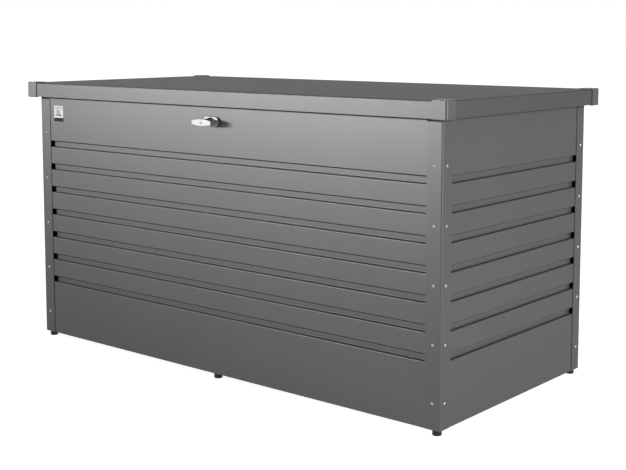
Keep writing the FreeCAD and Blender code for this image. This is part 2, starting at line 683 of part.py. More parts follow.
def make_hinge(side, x):
    """Two leaves that share a pin: the body leaf has the outer knuckles and the lid leaf the middle one."""
    half = "1.5 * hinge_knuckle"
    middle = "(hinge_knuckle / 2)"
    bore = "hinge_pin + hinge_fit"
    top = WALL_TOP + " - bend_radius"
    low = HINGE_Z + " - hinge_barrel"

    def barrel(start, length, radius):
        return rod("X", radius, length, "%s + %s" % (x, start), HINGE_Y, HINGE_Z)

    plate = box(x + " - " + half, x + " + " + half, WALL_Y, WALL_Y + " + hinge_leaf", low, top)
    arm = box(x + " - " + half, x + " + " + half, WALL_Y, HINGE_Y, low, low + " + hinge_leaf")
    room = box("%s - %s - hinge_end_play" % (x, middle), "%s + %s + hinge_end_play" % (x, middle),
               WALL_Y + " + hinge_leaf", HINGE_Y + " + 2 * hinge_barrel", low + " - 1", HINGE_Z + " + 2 * hinge_barrel")
    knuckles = barrel("-" + half, "3 * hinge_knuckle", "hinge_barrel")
    through = barrel("-2 * hinge_knuckle", "4 * hinge_knuckle", "hinge_pin")
    piece(cut(fuse(plate, arm, knuckles), room, through), "body_hinge_leaf_" + side)

    rim = "(%s - lid_sheet)" % LID_Y
    lid_plate = box(x + " - " + half, x + " + " + half, rim + " - hinge_leaf", rim, low, LID_UNDER + " - lid_edge")
    lid_arm = box("%s - %s" % (x, middle), "%s + %s" % (x, middle), HINGE_Y, rim, low, low + " + hinge_leaf")
    lid_knuckle = barrel("-" + middle, "hinge_knuckle", "hinge_barrel")
    lid_bore = barrel("-2 * hinge_knuckle", "4 * hinge_knuckle", bore)
    piece(cut(fuse(lid_plate, lid_arm, lid_knuckle), lid_bore), "lid_hinge_leaf_" + side)
    return barrel("-" + half, "3 * hinge_knuckle", "hinge_pin")


def make_hinges():
    pins = []
    for side, x in (("left", "-(%s - hinge_inset)" % BODY_X), ("center", "0"), ("right", "(%s - hinge_inset)" % BODY_X)):
        pins.append(make_hinge(side, x))
    piece(group(*pins), "hinge_pins")


# --- Gas springs -----------------------------------------------------------------------------------------

def lean():
    """How far the closed spring leans to the rear from upright, in degrees."""
    run = value("spring_foot_reach - spring_head_reach")
    rise = value(SPRING_HEAD_Z + " - " + SPRING_FOOT_Z)
    return math.degrees(math.atan2(run, rise))


def make_spring(side, sign):
    """A closed gas spring, modelled upright with its foot pivot as origin, then leaned to the lid bracket."""
    length = "sqrt((spring_foot_reach - spring_head_reach)^2 + (%s - %s)^2)" % (SPRING_HEAD_Z, SPRING_FOOT_Z)
    half_eye = "spring_eye_width / 2"

    def eye(z, radius):
        return rod("X", radius, "spring_eye_width", "-" + half_eye, "0", z)

    def placed(obj, label):
        piece(obj, label)
        place(obj, sign + SPRING_X, SPRING_FOOT_Y, SPRING_FOOT_Z, -lean(), (1, 0, 0))

    barrel_top = "(%s - spring_neck - spring_rod_show)" % length
    tube = rod("Z", "spring_radius", "%s - spring_neck" % barrel_top, z="spring_neck")
    tube_bore = rod("Z", "spring_rod_radius + spring_bore_gap", length, z="spring_neck + spring_stroke / 10")
    neck = rod("Z", "spring_rod_radius", "spring_neck")
    pivot_bore = eye("0", "spring_pivot + spring_bore_gap")
    placed(cut(fuse(eye("0", "spring_eye_radius"), neck, tube), pivot_bore, tube_bore), "gas_cylinder_" + side)

    shaft_length = length + " - spring_neck - spring_stroke / 5"
    shaft = rod("Z", "spring_rod_radius", shaft_length, z="spring_neck + spring_stroke / 5")
    placed(fuse(shaft, eye(length, "spring_eye_radius")), "gas_rod_" + side)


def make_spring_brackets(side, sign):
    """The foot bracket carries the pivot pin; the lid bracket's ear stands just beside the rod's eye."""
    outward = 1 if sign == "" else -1

    def across(low, high):
        """Block limits along X, given as distances from the middle of the box."""
        return (low, high) if outward == 1 else ("-(%s)" % high, "-(%s)" % low)

    eye_inside = "(%s - spring_eye_width / 2)" % SPRING_X
    plate = box(*across(INNER_X + " - bracket_sheet", INNER_X),
                SPRING_FOOT_Y + " - bracket_width / 2", SPRING_FOOT_Y + " + bracket_width / 2",
                SPRING_FOOT_Z + " - bracket_width / 2", SPRING_FOOT_Z + " + bracket_width / 2")
    pin_low = eye_inside + " - pivot_gap - spring_head_plate"
    pin_length = "%s - (%s)" % (INNER_X, pin_low)
    start = pin_low if outward == 1 else "-" + INNER_X
    pin = rod("X", "spring_pivot", pin_length, start, SPRING_FOOT_Y, SPRING_FOOT_Z)
    head_start = pin_low if outward == 1 else "-(%s - pivot_gap)" % eye_inside
    head = rod("X", "spring_pivot_head", "spring_head_plate", head_start, SPRING_FOOT_Y, SPRING_FOOT_Z)
    shoulder_low = "(%s + spring_eye_width / 2 + pivot_gap)" % SPRING_X
    shoulder_start = shoulder_low if outward == 1 else "-" + INNER_X
    shoulder = rod("X", "spring_pivot_head", "%s - %s" % (INNER_X, shoulder_low), shoulder_start,
                   SPRING_FOOT_Y, SPRING_FOOT_Z)
    piece(fuse(plate, pin, head, shoulder), "spring_foot_bracket_" + side)

    ear_high = eye_inside + " - pivot_gap"
    front = SPRING_HEAD_Y + " - bracket_width / 2"
    back = SPRING_HEAD_Y + " + bracket_width / 2"
    ear = box(*across(ear_high + " - bracket_sheet", ear_high), front, back,
              SPRING_HEAD_Z + " - spring_eye_radius", LID_UNDER)
    foot = box(*across(ear_high + " - bracket_foot", ear_high), front, back, LID_UNDER + " - bracket_sheet", LID_UNDER)
    piece(fuse(ear, foot), "spring_lid_bracket_" + side)


def make_springs():
    for side, sign in (("left", "-"), ("right", "")):
        make_spring(side, sign)
        make_spring_brackets(side, sign)


# --- Lock ------------------------------------------------------------------------------------------------

def make_handle():
    """The turning handle: a boat-shaped face on a tapered neck, with the key plug in its middle."""
    face_y = "-(%s + handle_reach)" % WALL_Y
    back_y = "(%s + handle_thick)" % face_y
    half = "handle_length / 2"
    bulge = "((handle_middle - handle_end) / 2)"
    sweep = "((handle_length ^ 2 / 4 + %s ^ 2) / (2 * %s))" % (bulge, bulge)
    drop = "(%s - handle_middle / 2)" % sweep
    blank = box("-" + half, half, face_y, back_y, LOCK_Z + " - handle_middle", LOCK_Z + " + handle_middle")
    upper = rod("Y", sweep, "handle_thick", "0", face_y, LOCK_Z + " - " + drop)
    lower = rod("Y", sweep, "handle_thick", "0", face_y, LOCK_Z + " + " + drop)
    doc.recompute()
    boat = common(blank, upper, lower)
    doc.recompute()
    soft = doc.addObject("Part::Fillet", "Soft")
    soft.Base = boat
    radius = value("handle_round")
    soft.Edges = [(number, radius, radius) for number in range(1, len(boat.Shape.Edges) + 1)]
    rosette_y = "-(%s + rosette_thick)" % WALL_Y
    neck_length = "%s - turn_gap - %s" % (rosette_y, back_y)
    neck = cone("Y", "neck_front", "neck_back", neck_length, "0", back_y, LOCK_Z)
    bore = rod("Y", "plug_radius + plug_gap", "plug_length", "0", face_y, LOCK_Z)
    seat = rod("Y", "spindle_radius + spindle_gap", "2 * spindle_seat",
               "0", "%s - turn_gap - spindle_seat" % rosette_y, LOCK_Z)
    piece(cut(fuse(soft, neck), bore, seat), "t_handle")

    plug = rod("Y", "plug_radius", "plug_length - turn_gap", "0", face_y, LOCK_Z)
    slot = box("-key_slot_width / 2", "key_slot_width / 2", face_y, face_y + " + key_slot_depth",
               LOCK_Z + " - key_slot_length / 2", LOCK_Z + " + key_slot_length / 2")
    piece(cut(plug, slot), "key_plug")

    spindle_start = "(%s - turn_gap - spindle_seat)" % rosette_y
    spindle_end = "(-%s + case_depth + wall_sheet)" % WALL_Y
    piece(rod("Y", "spindle_radius", "%s + case_sheet - %s" % (spindle_end, spindle_start),
              "0", spindle_start, LOCK_Z), "lock_spindle")

    body = new_body("lock_rosette")
    plate = rectangle(new_sketch(body, "XZ_Plane"), "-rosette_length / 2", "rosette_length / 2",
                      "-rosette_height / 2", "rosette_height / 2")
    grow(body, "Pad", plate, "rosette_thick")
    round_edges(body, "rosette_corner", lambda edge: runs_along(edge, "y"))
    thick = value("rosette_thick")
    round_edges(body, "rosette_round", lambda edge: near(edge.BoundBox.YMin, -thick)
                and near(edge.BoundBox.YMax, -thick))
    bore = new_sketch(body, "XZ_Plane")
    circle(bore, "0", "0", "spindle_radius + spindle_gap")
    grow(body, "Pocket", bore, "2 * rosette_thick", reverse=True)
    place(body, "0", "-" + WALL_Y, LOCK_Z)


def flank(radius, base, pitch_half, pitch_radius):
    """Half the angle that an involute tooth fills at a radius."""
    pressure_pitch = math.acos(base / pitch_radius)
    pressure = math.acos(min(1, base / radius))
    return pitch_half + (math.tan(pressure_pitch) - pressure_pitch) - (math.tan(pressure) - pressure)


def make_pinion():
    """A spur pinion on the spindle. Its involute outline has no primitive, so it is a shape of its own."""
    module = value("tooth_module")
    count = int(value("tooth_count"))
    pitch_radius = value(PITCH_RADIUS)
    base = pitch_radius * math.cos(math.radians(PRESSURE_ANGLE))
    root = pitch_radius - value(TOOTH_ROOT)
    tip = pitch_radius + module - value("rack_gap")
    pitch_half = (math.pi * module / 2 - value("tooth_play") / 2) / 2 / pitch_radius
    radii = [root] + [base + (tip - base) * step / 5 for step in range(6)]
    points = []
    for tooth in range(count):
        middle = math.pi / 2 + 2 * math.pi * tooth / count
        for side, order in ((-1, radii), (1, radii[::-1])):
            for radius in order:
                angle = middle + side * flank(max(radius, base), base, pitch_half, pitch_radius)
                points.append(FreeCAD.Vector(radius * math.cos(angle), 0, radius * math.sin(angle)))
    points = points + [points[0]]
    blank = Part.Face(Part.makePolygon(points)).extrude(FreeCAD.Vector(0, value("pinion_thick"), 0))
    bore = Part.makeCylinder(value("spindle_radius + spindle_gap"), value("pinion_thick"),
                             FreeCAD.Vector(0, 0, 0), FreeCAD.Vector(0, 1, 0))
    pinion = doc.addObject("Part::Feature", "Pinion")
    pinion.Shape = blank.cut(bore)
    place(pinion, "0", "-%s - pinion_thick / 2" % BAR_Y, LOCK_Z)
    piece(pinion, "lock_pinion")


def make_bar(side, up):
    """A flat lock bar with rack teeth facing the pinion, in a frame at the pinion's centre.

    The bar is drawn as if it lay above the pinion and pointed to +X, then turned by half a turn for the
    other side, so that both racks mesh and run apart when the handle turns."""
    body = new_body("lock_bar_" + side)
    start = "-(pi * tooth_module * bar_rack_teeth / 2)"
    sketch = rectangle(new_sketch(body, "XZ_Plane", "-bar_thick / 2"), start, STRIKER_X + " - bar_short",
                       BAR_NEAR, BAR_NEAR + " + bar_height")
    grow(body, "Pad", sketch, "bar_thick")

    # One rack tooth, centred in a gap of the pinion, then a row of them.
    slope = math.tan(math.radians(PRESSURE_ANGLE))
    half_space = "(pi * tooth_module / 4 - tooth_play / 4)"
    tip_z = "(tooth_module * (tooth_count / 2 - 1) + rack_gap)"
    reach_down = "(tooth_module - rack_gap)"
    first = "(pi * tooth_module * (0.5 - floor(bar_rack_teeth / 2)))"
    narrow = "(%s - %s * %.9f)" % (half_space, reach_down, slope)
    wide = "(%s + %s * %.9f)" % (half_space, TOOTH_ROOT, slope)
    sketch = outline(new_sketch(body, "XZ_Plane", "-bar_thick / 2"), [
        (first + " - " + wide, BAR_NEAR), (first + " - " + narrow, tip_z),
        (first + " + " + narrow, tip_z), (first + " + " + wide, BAR_NEAR)])
    tooth = grow(body, "Pad", sketch, "bar_thick")
    repeat(body, [tooth], "X_Axis", "pi * tooth_module * (bar_rack_teeth - 1)", "bar_rack_teeth")
    place(body, "0", "-" + BAR_Y, LOCK_Z, 0 if up else 180, (0, 1, 0))


def make_lock_fittings():
    """The case behind the wall, the bar guides on the wall and the strikers under the lid."""
    wall = "-" + INNER_Y
    back = "(%s + case_depth)" % wall
    half = "case_width / 2"
    low = LOCK_Z + " - case_half_height"
    high = LOCK_Z + " + case_half_height"
    shell = box("-" + half, half, wall, back + " + case_sheet", low + " - case_sheet", high + " + case_sheet")
    hollow = box("-" + half, half, wall, back, low, high)
    bearing = rod("Y", "spindle_radius + spindle_gap", "4 * case_sheet", "0", back + " - case_sheet", LOCK_Z)
    piece(cut(shell, hollow, bearing), "lock_case")

    guides = []
    for sign, height in (("", BAR_MIDDLE), ("-", "-" + BAR_MIDDLE)):
        for distance in ("guide_inner", "(%s - guide_outer_inset)" % BODY_X):
            middle_z = "%s + %s" % (LOCK_Z, height)
            tall = "(bar_height / 2 + guide_margin)"
            x0 = "%s%s - guide_sheet / 2" % (sign, distance)
            x1 = "%s%s + guide_sheet / 2" % (sign, distance)
            plate = box(x0, x1, wall, "-%s + bar_thick / 2 + guide_margin" % BAR_Y,
                        middle_z + " - " + tall, middle_z + " + " + tall)
            window = box(x0, x1, "-%s - bar_thick / 2 - bar_slide_gap" % BAR_Y,
                         "-%s + bar_thick / 2 + bar_slide_gap" % BAR_Y,
                         middle_z + " - bar_height / 2 - bar_slide_gap", middle_z + " + bar_height / 2 + bar_slide_gap")
            guides.append(cut(plate, window))
    piece(group(*guides), "bar_guides")

    for side, sign, height in (("right", "", BAR_MIDDLE), ("left", "-", "-" + BAR_MIDDLE)):
        middle_z = "%s + %s" % (LOCK_Z, height)
        room = "(bar_thick / 2 + striker_slack)"
        front = "-%s - %s - striker_margin" % (BAR_Y, room)
        rear = "-%s + %s + striker_margin" % (BAR_Y, room)
        x0 = STRIKER_X if sign == "" else "-%s - bracket_sheet" % STRIKER_X
        foot0 = STRIKER_X if sign == "" else "-%s - striker_foot" % STRIKER_X
        hole_low = middle_z + " - bar_height / 2 - striker_slack"
        hole_high = middle_z + " + bar_height / 2 + striker_slack"
        plate = box(x0, x0 + " + bracket_sheet", front, rear, hole_low + " - striker_margin", LID_UNDER)
        window = box(x0, x0 + " + bracket_sheet", "-%s - %s" % (BAR_Y, room), "-%s + %s" % (BAR_Y, room),
                     hole_low, hole_high)
        foot = box(foot0, foot0 + " + striker_foot", front, rear, LID_UNDER + " - bracket_sheet", LID_UNDER)
        piece(fuse(cut(plate, window), foot), "striker_" + side)


def make_lock():
    make_handle()
    make_pinion()
    make_bar("right", True)
    make_bar("left", False)
    make_lock_fittings()


def make_label():
    """A thin blank label on the front wall, near its left post."""
    left = "-(%s - label_left)" % BODY_X
    high = WALL_TOP + " - label_drop"
    piece(box(left, left + " + label_width", "-%s - label_thick" % WALL_Y, "-" + WALL_Y,
              high + " - label_height", high), "label_plate")


# --- The whole box ---------------------------------------------------------------------------------------

make_walls()
for corner, side_x, side_y in CORNERS:
    make_post("post_" + corner, side_x, side_y)
make_stiffeners()
make_fasteners()
make_floor()
make_feet()
make_top_rails()
make_lid()
make_hinges()
make_springs()
make_lock()
make_label()
doc.recompute()

for item in doc.Objects:
    if "Invalid" in item.State or "Error" in item.State:
        raise ValueError("%s did not compute: %s" % (item.Label, item.State))
for label, item in PIECES.items():
    if item.Shape.isNull() or not item.Shape.isValid():
        raise ValueError(label + " has no valid shape")

os.makedirs("parts", exist_ok=True)
for label, item in PIECES.items():
    item.Shape.exportStep("parts/%s.step" % label)
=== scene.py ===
"""A deck storage box: grooved steel walls between corner posts, a capped lid on gas springs, a lock handle.
"""

import math

import bmesh
import bpy
from mathutils import Matrix, Vector


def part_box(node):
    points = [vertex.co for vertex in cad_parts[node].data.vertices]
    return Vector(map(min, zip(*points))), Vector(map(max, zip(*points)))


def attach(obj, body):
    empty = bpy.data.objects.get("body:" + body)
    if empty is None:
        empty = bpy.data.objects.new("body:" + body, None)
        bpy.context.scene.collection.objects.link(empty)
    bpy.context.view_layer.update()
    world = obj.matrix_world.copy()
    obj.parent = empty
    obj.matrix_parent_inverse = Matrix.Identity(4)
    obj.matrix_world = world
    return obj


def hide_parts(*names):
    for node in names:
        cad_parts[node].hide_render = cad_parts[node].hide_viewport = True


bl_info = {
    "name": "Deck storage box",
    "version": (1, 0, 0),
    "blender": (4, 5, 0),
    "location": "View3D > Sidebar > Deck box",
    "description": "Makes the pieces, finishes and stage of a grooved steel deck storage box",
    "category": "Object",
}

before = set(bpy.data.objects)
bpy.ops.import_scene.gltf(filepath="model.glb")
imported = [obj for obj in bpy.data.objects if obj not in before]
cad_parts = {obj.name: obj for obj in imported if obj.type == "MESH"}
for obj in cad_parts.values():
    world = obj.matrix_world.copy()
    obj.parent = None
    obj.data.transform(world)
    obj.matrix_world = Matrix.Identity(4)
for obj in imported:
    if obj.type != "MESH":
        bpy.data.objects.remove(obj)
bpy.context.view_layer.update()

CORNERS = ("front_left", "front_right", "rear_left", "rear_right")

# How far each wall is turned from the front, in degrees.
WALLS = {"front": 0, "rear": 180, "right": 90, "left": -90}

# Painted shadow under an overhanging edge: how far down it is full, and the stretch in which it fades out.
SHADOW_BAND = 0.005
SHADOW_FADE = 0.0025

# The handle's grip: how deep its face, which has a colour of its own, and the whole grip are, and how much
# narrower its ends become.
GRIP_FACE = 0.0013
GRIP_DEPTH = 0.0075
GRIP_TAPER = 0.25
GRIP_CUTS = 5

# Lamps, by name: aim, heading from the front to the right, climb in degrees, distance, and size of the face.
LAMPS = {
    "key_lamp": ((0.0, -0.36, 1.0), -35, 2, 4.0, (2.6, 0.3)),
    "side_lamp": ((0.8, 0.0, 0.5), 97, 8, 3.0, (0.5, 1.6)),
}

# How far the floor goes each way from the middle, and how far the camera sees.
FLOOR_REACH = 60.0
VIEW_REACH = 200.0


# --- Expressions on node sockets -------------------------------------------------------------------------


class Value:
    """A socket of a node tree that takes part in Python arithmetic: each operator adds a Math node."""

    def __init__(self, graph, socket):
        self.graph = graph
        self.socket = socket

    def __add__(self, other):
        return self.graph.maths("ADD", self, other)

    def __sub__(self, other):
        return self.graph.maths("SUBTRACT", self, other)

    def __mul__(self, other):
        return self.graph.maths("MULTIPLY", self, other)

    def __truediv__(self, other):
        return self.graph.maths("DIVIDE", self, other)

    def __rsub__(self, other):
        return self.graph.maths("SUBTRACT", other, self)

    def __neg__(self):
        return self.graph.maths("MULTIPLY", self, -1)

    def __mod__(self, other):
        return self.graph.maths("FLOORED_MODULO", self, other)

    def __gt__(self, other):
        return self.graph.maths("GREATER_THAN", self, other)

    def __lt__(self, other):
        return self.graph.maths("LESS_THAN", self, other)

    __radd__ = __add__
    __rmul__ = __mul__


class Graph:
    """A node tree as it is being written."""

    def __init__(self, tree):
        self.tree = tree
        tree.nodes.clear()

    def node(self, kind, settings=(), inputs=()):
        """Add a node of a type, set its settings, then the values or links of its sockets."""
        made = self.tree.nodes.new(kind)
        for name, setting in dict(settings).items():
            setattr(made, name, setting)
        for name, given in dict(inputs).items():
            self.feed(made.inputs[name], given)
        return made

    def feed(self, socket, given):
        """Link a field to a socket, or set the socket to a plain value."""
        if isinstance(given, Value):
            self.tree.links.new(given.socket, socket)
        else:
            socket.default_value = given

    def out(self, made, name=0):
        return Value(self, made.outputs[name])

    def maths(self, operation, *values):
        return self.out(self.node("ShaderNodeMath", {"operation": operation}, enumerate(values)))

    def pick(self, index, values):
        """One of several numbers or fields, by an index."""
        switch = self.node("GeometryNodeIndexSwitch", {"data_type": "FLOAT"})
        while len(switch.index_switch_items) < len(values):
            switch.index_switch_items.new()
        self.feed(switch.inputs["Index"], index)
        for place, value in enumerate(values):
            self.feed(switch.inputs[place + 1], value)
        return self.out(switch)


# --- Finishes --------------------------------------------------------------------------------------------


def grey(level):
    """A neutral linear colour."""
    return (level, level, level, 1.0)


def finish(name):
    """An empty material and its graph."""
    material = bpy.data.materials.new(name)
    material.use_nodes = True
    return material, Graph(material.node_tree)


def noise(graph, place, scale, detail):
    made = graph.node("ShaderNodeTexNoise", {}, {"Vector": place, "Scale": scale, "Detail": detail})
    return graph.out(made, "Fac")


def object_place(graph, stretch=(1, 1, 1)):
    """Places on the object in metres, or stretched to draw a noise out along an axis."""
    coordinates = graph.out(graph.node("ShaderNodeTexCoord"), "Object")
    if stretch == (1, 1, 1):
        return coordinates
    mapping = graph.node("ShaderNodeMapping", {}, {"Vector": coordinates, "Scale": stretch})
    return graph.out(mapping)


def blend_colour(graph, factor, low, high):
    """A mix of two colours, each given as numbers or as a socket.

    A Mix node has an A, a B and a Result of every data type, so the ones for colours go by number.
    """
    first, second, result = 6, 7, 2
    mix = graph.node("ShaderNodeMix", {"data_type": "RGBA"}, {"Factor": factor, first: low, second: high})
    return graph.out(mix, result)


def bump(graph, height, strength, distance, under=None):
    inputs = {"Height": height, "Strength": strength, "Distance": distance}
    if under is not None:
        inputs["Normal"] = under
    return graph.out(graph.node("ShaderNodeBump", {}, inputs))


def close(graph, shader):
    graph.node("ShaderNodeOutputMaterial", {}, {"Surface": shader})


def surface(graph, settings):
    """A Principled surface from a dictionary of socket names."""
    return graph.out(graph.node("ShaderNodeBsdfPrincipled", {}, settings))


def under_edge(graph, place, edge):
    """How much painted shadow a sheet gets close under an edge that overhangs it. The box's short sides get
    half as much.
    """
    near = 0.001
    parts = graph.node("ShaderNodeSeparateXYZ", {}, {"Vector": place})
    height = graph.out(parts, "Z")
    fade = graph.maths("MAXIMUM", (height - edge + (SHADOW_BAND + SHADOW_FADE)) / SHADOW_FADE, 0.0)
    long_side = graph.maths("ABSOLUTE", graph.out(parts, "Y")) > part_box("rear_panel")[1].y - near
    return graph.maths("MINIMUM", fade, 1.0) * (height < edge + near) * (long_side * 0.5 + 0.5)


def coated_sheet(name, tone, roughness, edge=None, coat=0.0):
    """Satin metallic powder coat on sheet steel: fine grain, slow mottle, faint run marks down the sheet.

    Painted shade darkens it in the folds under the slats, and a painted shadow darkens it close under an edge
    if the edge's height is given.
    """
    material, graph = finish(name)
    place = object_place(graph)
    fine = noise(graph, place, 1400, 2)
    peel = noise(graph, place, 260, 1)
    mottle = noise(graph, place, 5, 3)
    marks = noise(graph, object_place(graph, (18, 18, 0.8)), 1.0, 3)
    shade = mottle * 0.5 + marks * 0.2 + fine * 0.3
    # Painted shade in the folds under the slats, and painted shadow close under an edge, blend the colour
    # towards near black.
    painted_shade = graph.out(graph.node("ShaderNodeAttribute", {"attribute_name": "fold_shade"}), "Fac")
    if edge is not None:
        painted_shade = graph.maths("MAXIMUM", painted_shade, under_edge(graph, place, edge))
    unshaded_colour = blend_colour(graph, shade, grey(tone * 0.94), grey(tone * 1.06))
    colour = blend_colour(graph, painted_shade, unshaded_colour, grey(0.008))
    normal = bump(graph, fine, 0.05, 0.0004)
    normal = bump(graph, peel, 0.03, 0.001, normal)
    gloss = roughness + (marks - 0.5) * 0.08 + (fine - 0.5) * 0.05
    close(graph, surface(graph, {
        "Base Color": colour, "Metallic": 0.5, "Roughness": gloss, "Specular IOR Level": 0.1,
        "Specular Tint": grey(0.12), "Coat Weight": coat, "Coat Roughness": 0.12, "Normal": normal}))
    return material


def moulded_plastic(name, tone, roughness):
    """Spark-eroded moulded plastic with a slight sheen."""
    material, graph = finish(name)
    place = object_place(graph)
    grain = graph.out(graph.node("ShaderNodeTexVoronoi", {"feature": "SMOOTH_F1"},
                                 {"Vector": place, "Scale": 900, "Smoothness": 0.6}), "Distance")
    mottle = noise(graph, place, 30, 3)
    colour = blend_colour(graph, mottle, grey(tone * 0.94), grey(tone * 1.06))
    close(graph, surface(graph, {
        "Base Color": colour, "Roughness": roughness + (mottle - 0.5) * 0.1,
        "Specular IOR Level": 0.45, "Normal": bump(graph, grain, 0.12, 0.0003)}))
    return material


def bare_metal(name, tone, roughness, brushed=(1, 1, 1), wear=0.1):
    """Plated or ground metal: brushing along one direction, and stains that change the gloss."""
    material, graph = finish(name)
    lines = noise(graph, object_place(graph, brushed), 900, 3)
    place = object_place(graph)
    stain = noise(graph, place, 60, 4)
    stained = tuple(part * 0.93 for part in tone[:3]) + (1.0,)
    close(graph, surface(graph, {
        "Base Color": blend_colour(graph, stain * 0.7 + lines * 0.3, stained, tone), "Metallic": 1.0,
        "Roughness": roughness + (stain - 0.5) * wear + (lines - 0.5) * 0.05,
        "Normal": bump(graph, lines, 0.04, 0.0002)}))
    return material


def handle_metal(name, face_tone, neck_tone):
    """A handle whose grip face is darker and rougher than the rest of the grip and its neck: the darker face
    and paler neck are painted light, which holds down the face's highlight and lightens the neck's shade.
    """
    material, graph = finish(name)
    place = object_place(graph)
    depth = graph.out(graph.node("ShaderNodeSeparateXYZ", {}, {"Vector": place}), "Y")
    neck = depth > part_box("t_handle")[0].y + GRIP_FACE
    lines = noise(graph, object_place(graph, (1, 1, 8)), 900, 3)
    stain = noise(graph, place, 60, 4)
    # Painted light: a darker face where the lamp's highlight falls, and a paler neck where it is in shade.
    colour = blend_colour(graph, neck, face_tone, neck_tone)
    close(graph, surface(graph, {
        "Base Color": colour, "Metallic": 1.0, "Roughness": 0.52 - neck * 0.1 + (stain - 0.5) * 0.06,
        "Normal": bump(graph, lines, 0.04, 0.0002)}))
    return material


def spangled_zinc(name, tone):
    """Hot-dip zinc with its flat crystals."""
    material, graph = finish(name)
    place = object_place(graph)
    crystal = graph.out(graph.node("ShaderNodeTexVoronoi", {}, {"Vector": place, "Scale": 110}), "Color")
    shade = graph.out(graph.node("ShaderNodeSeparateColor", {}, {"Color": crystal}), "Red")
    fine = noise(graph, place, 700, 2)
    colour = blend_colour(graph, shade, grey(tone * 0.85), grey(tone * 1.1))
    close(graph, surface(graph, {
        "Base Color": colour, "Metallic": 0.85, "Roughness": 0.5 + (shade - 0.5) * 0.16,
        "Normal": bump(graph, fine, 0.05, 0.0003)}))
    return material


def rubber(name, tone):
    """Dull black rubber with dust in its pores."""
    material, graph = finish(name)
    place = object_place(graph)
    pores = noise(graph, place, 1100, 3)
    dust = noise(graph, place, 90, 4)
    colour = blend_colour(graph, dust, grey(tone * 0.7), grey(tone * 1.5))
    close(graph, surface(graph, {
        "Base Color": colour, "Roughness": 0.72 + (pores - 0.5) * 0.2,
        "Normal": bump(graph, pores, 0.2, 0.0004)}))
    return material


def label_face(name):
    """A label without text: a pale field, a dark band at its foot, and a few plain blocks and stripes."""
    material, graph = finish(name)
    lo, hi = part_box("label_plate")
    place = graph.node("ShaderNodeSeparateXYZ", {}, {"Vector": object_place(graph)})
    across = (graph.out(place, "X") - lo.x) / (hi.x - lo.x)
    height = (graph.out(place, "Z") - lo.z) / (hi.z - lo.z)
    band = height < 0.23
    mark = (height > 0.50) * (height < 0.72) * (across > 0.26) * (across < 0.64)
    bar = (height > 0.38) * (height < 0.45) * (across > 0.2) * (across < 0.8)
    lines = (height > 0.78) * (height < 0.93) * (across > 0.12) * (across < 0.86)
    stripes = lines * (((height * 16) % 1.0) > 0.55)
    paper = noise(graph, object_place(graph), 800, 3)
    pale = blend_colour(graph, paper, grey(0.72), grey(0.80))
    dark = blend_colour(graph, paper, grey(0.018), grey(0.028))
    ink = graph.maths("MINIMUM", band + bar + mark * 0.45 + stripes * 0.6, 1.0)
    close(graph, surface(graph, {
        "Base Color": blend_colour(graph, ink, pale, dark), "Roughness": 0.6 + (paper - 0.5) * 0.1,
        "Specular IOR Level": 0.1, "Normal": bump(graph, paper, 0.03, 0.0002)}))
    return material


# The lid's lower edge, under which the coated sheets get a painted shadow, and the caps' lower edge, under
# which the posts get one.
LID_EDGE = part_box("lid_shell")[0].z
CAP_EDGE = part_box("lid_cap_front_right")[0].z
FINISHES = {
    "coated_sheet": lambda: coated_sheet("coated_sheet", 0.13, 0.41, LID_EDGE, coat=0.12),
    "coated_post": lambda: coated_sheet("coated_post", 0.122, 0.41, CAP_EDGE, coat=0.2),
    "coated_lid": lambda: coated_sheet("coated_lid", 0.122, 0.42),
    "cap_plastic": lambda: coated_sheet("cap_plastic", 0.125, 0.45, coat=0.3),
    "foot_plastic": lambda: moulded_plastic("foot_plastic", 0.006, 0.5),
    "bumper_rubber": lambda: rubber("bumper_rubber", 0.015),
    "screw_steel": lambda: bare_metal("screw_steel", (0.5, 0.5, 0.51, 1), 0.34),
    "zinc_steel": lambda: bare_metal("zinc_steel", (0.62, 0.62, 0.64, 1), 0.38, (1, 1, 6)),
    "spangled_zinc": lambda: spangled_zinc("spangled_zinc", 0.36),
    "handle_face": lambda: handle_metal("handle_face", (0.27, 0.27, 0.28, 1), (0.5, 0.5, 0.51, 1)),
    "rosette_satin": lambda: bare_metal("rosette_satin", (0.24, 0.24, 0.25, 1), 0.44, (1, 1, 8), 0.08),
    "plug_steel": lambda: bare_metal("plug_steel", (0.24, 0.24, 0.25, 1), 0.5, (6, 1, 1)),
    "cylinder_black": lambda: moulded_plastic("cylinder_black", 0.014, 0.28),
    "rod_chrome": lambda: bare_metal("rod_chrome", (0.88, 0.88, 0.89, 1), 0.08, (1, 1, 20), 0.04),
    "label_face": lambda: label_face("label_face"),
}


def finish_of(name):
    """The named finish, made once."""
    return bpy.data.materials.get(name) or FINISHES[name]()


# --- Building meshes -------------------------------------------------------------------------------------


def new_object(name, data):
    """A new object in the scene."""
    made = bpy.data.objects.new(name, data)
    bpy.context.scene.collection.objects.link(made)
    return made


def add_piece(name, mesh, body, finish_name, node, angle=32):
    """Put a finished mesh in the scene as a piece that rides on a body and stands for a node.

    Large faces keep their flat normals, so that only the folds and rounded edges between them shade round.
    """
    mesh.shade_smooth()
    mesh.set_sharp_from_angle(angle=math.radians(angle))
    mesh = apply_modifiers(mesh, name + "_mesh", ("WEIGHTED_NORMAL", {"weight": 100, "keep_sharp": True}))
    mesh.materials.clear()
    mesh.materials.append(finish_of(finish_name))
    piece = new_object(name, mesh)
    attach(piece, body)
    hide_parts(node)


def mesh_from(shape, name, turn_out=True):
    """Turn a bmesh into a mesh, with its faces turned outwards unless they are right already."""
    if turn_out:
        bmesh.ops.recalc_face_normals(shape, faces=shape.faces)
    mesh = bpy.data.meshes.new(name)
    shape.to_mesh(mesh)
    shape.free()
    return mesh


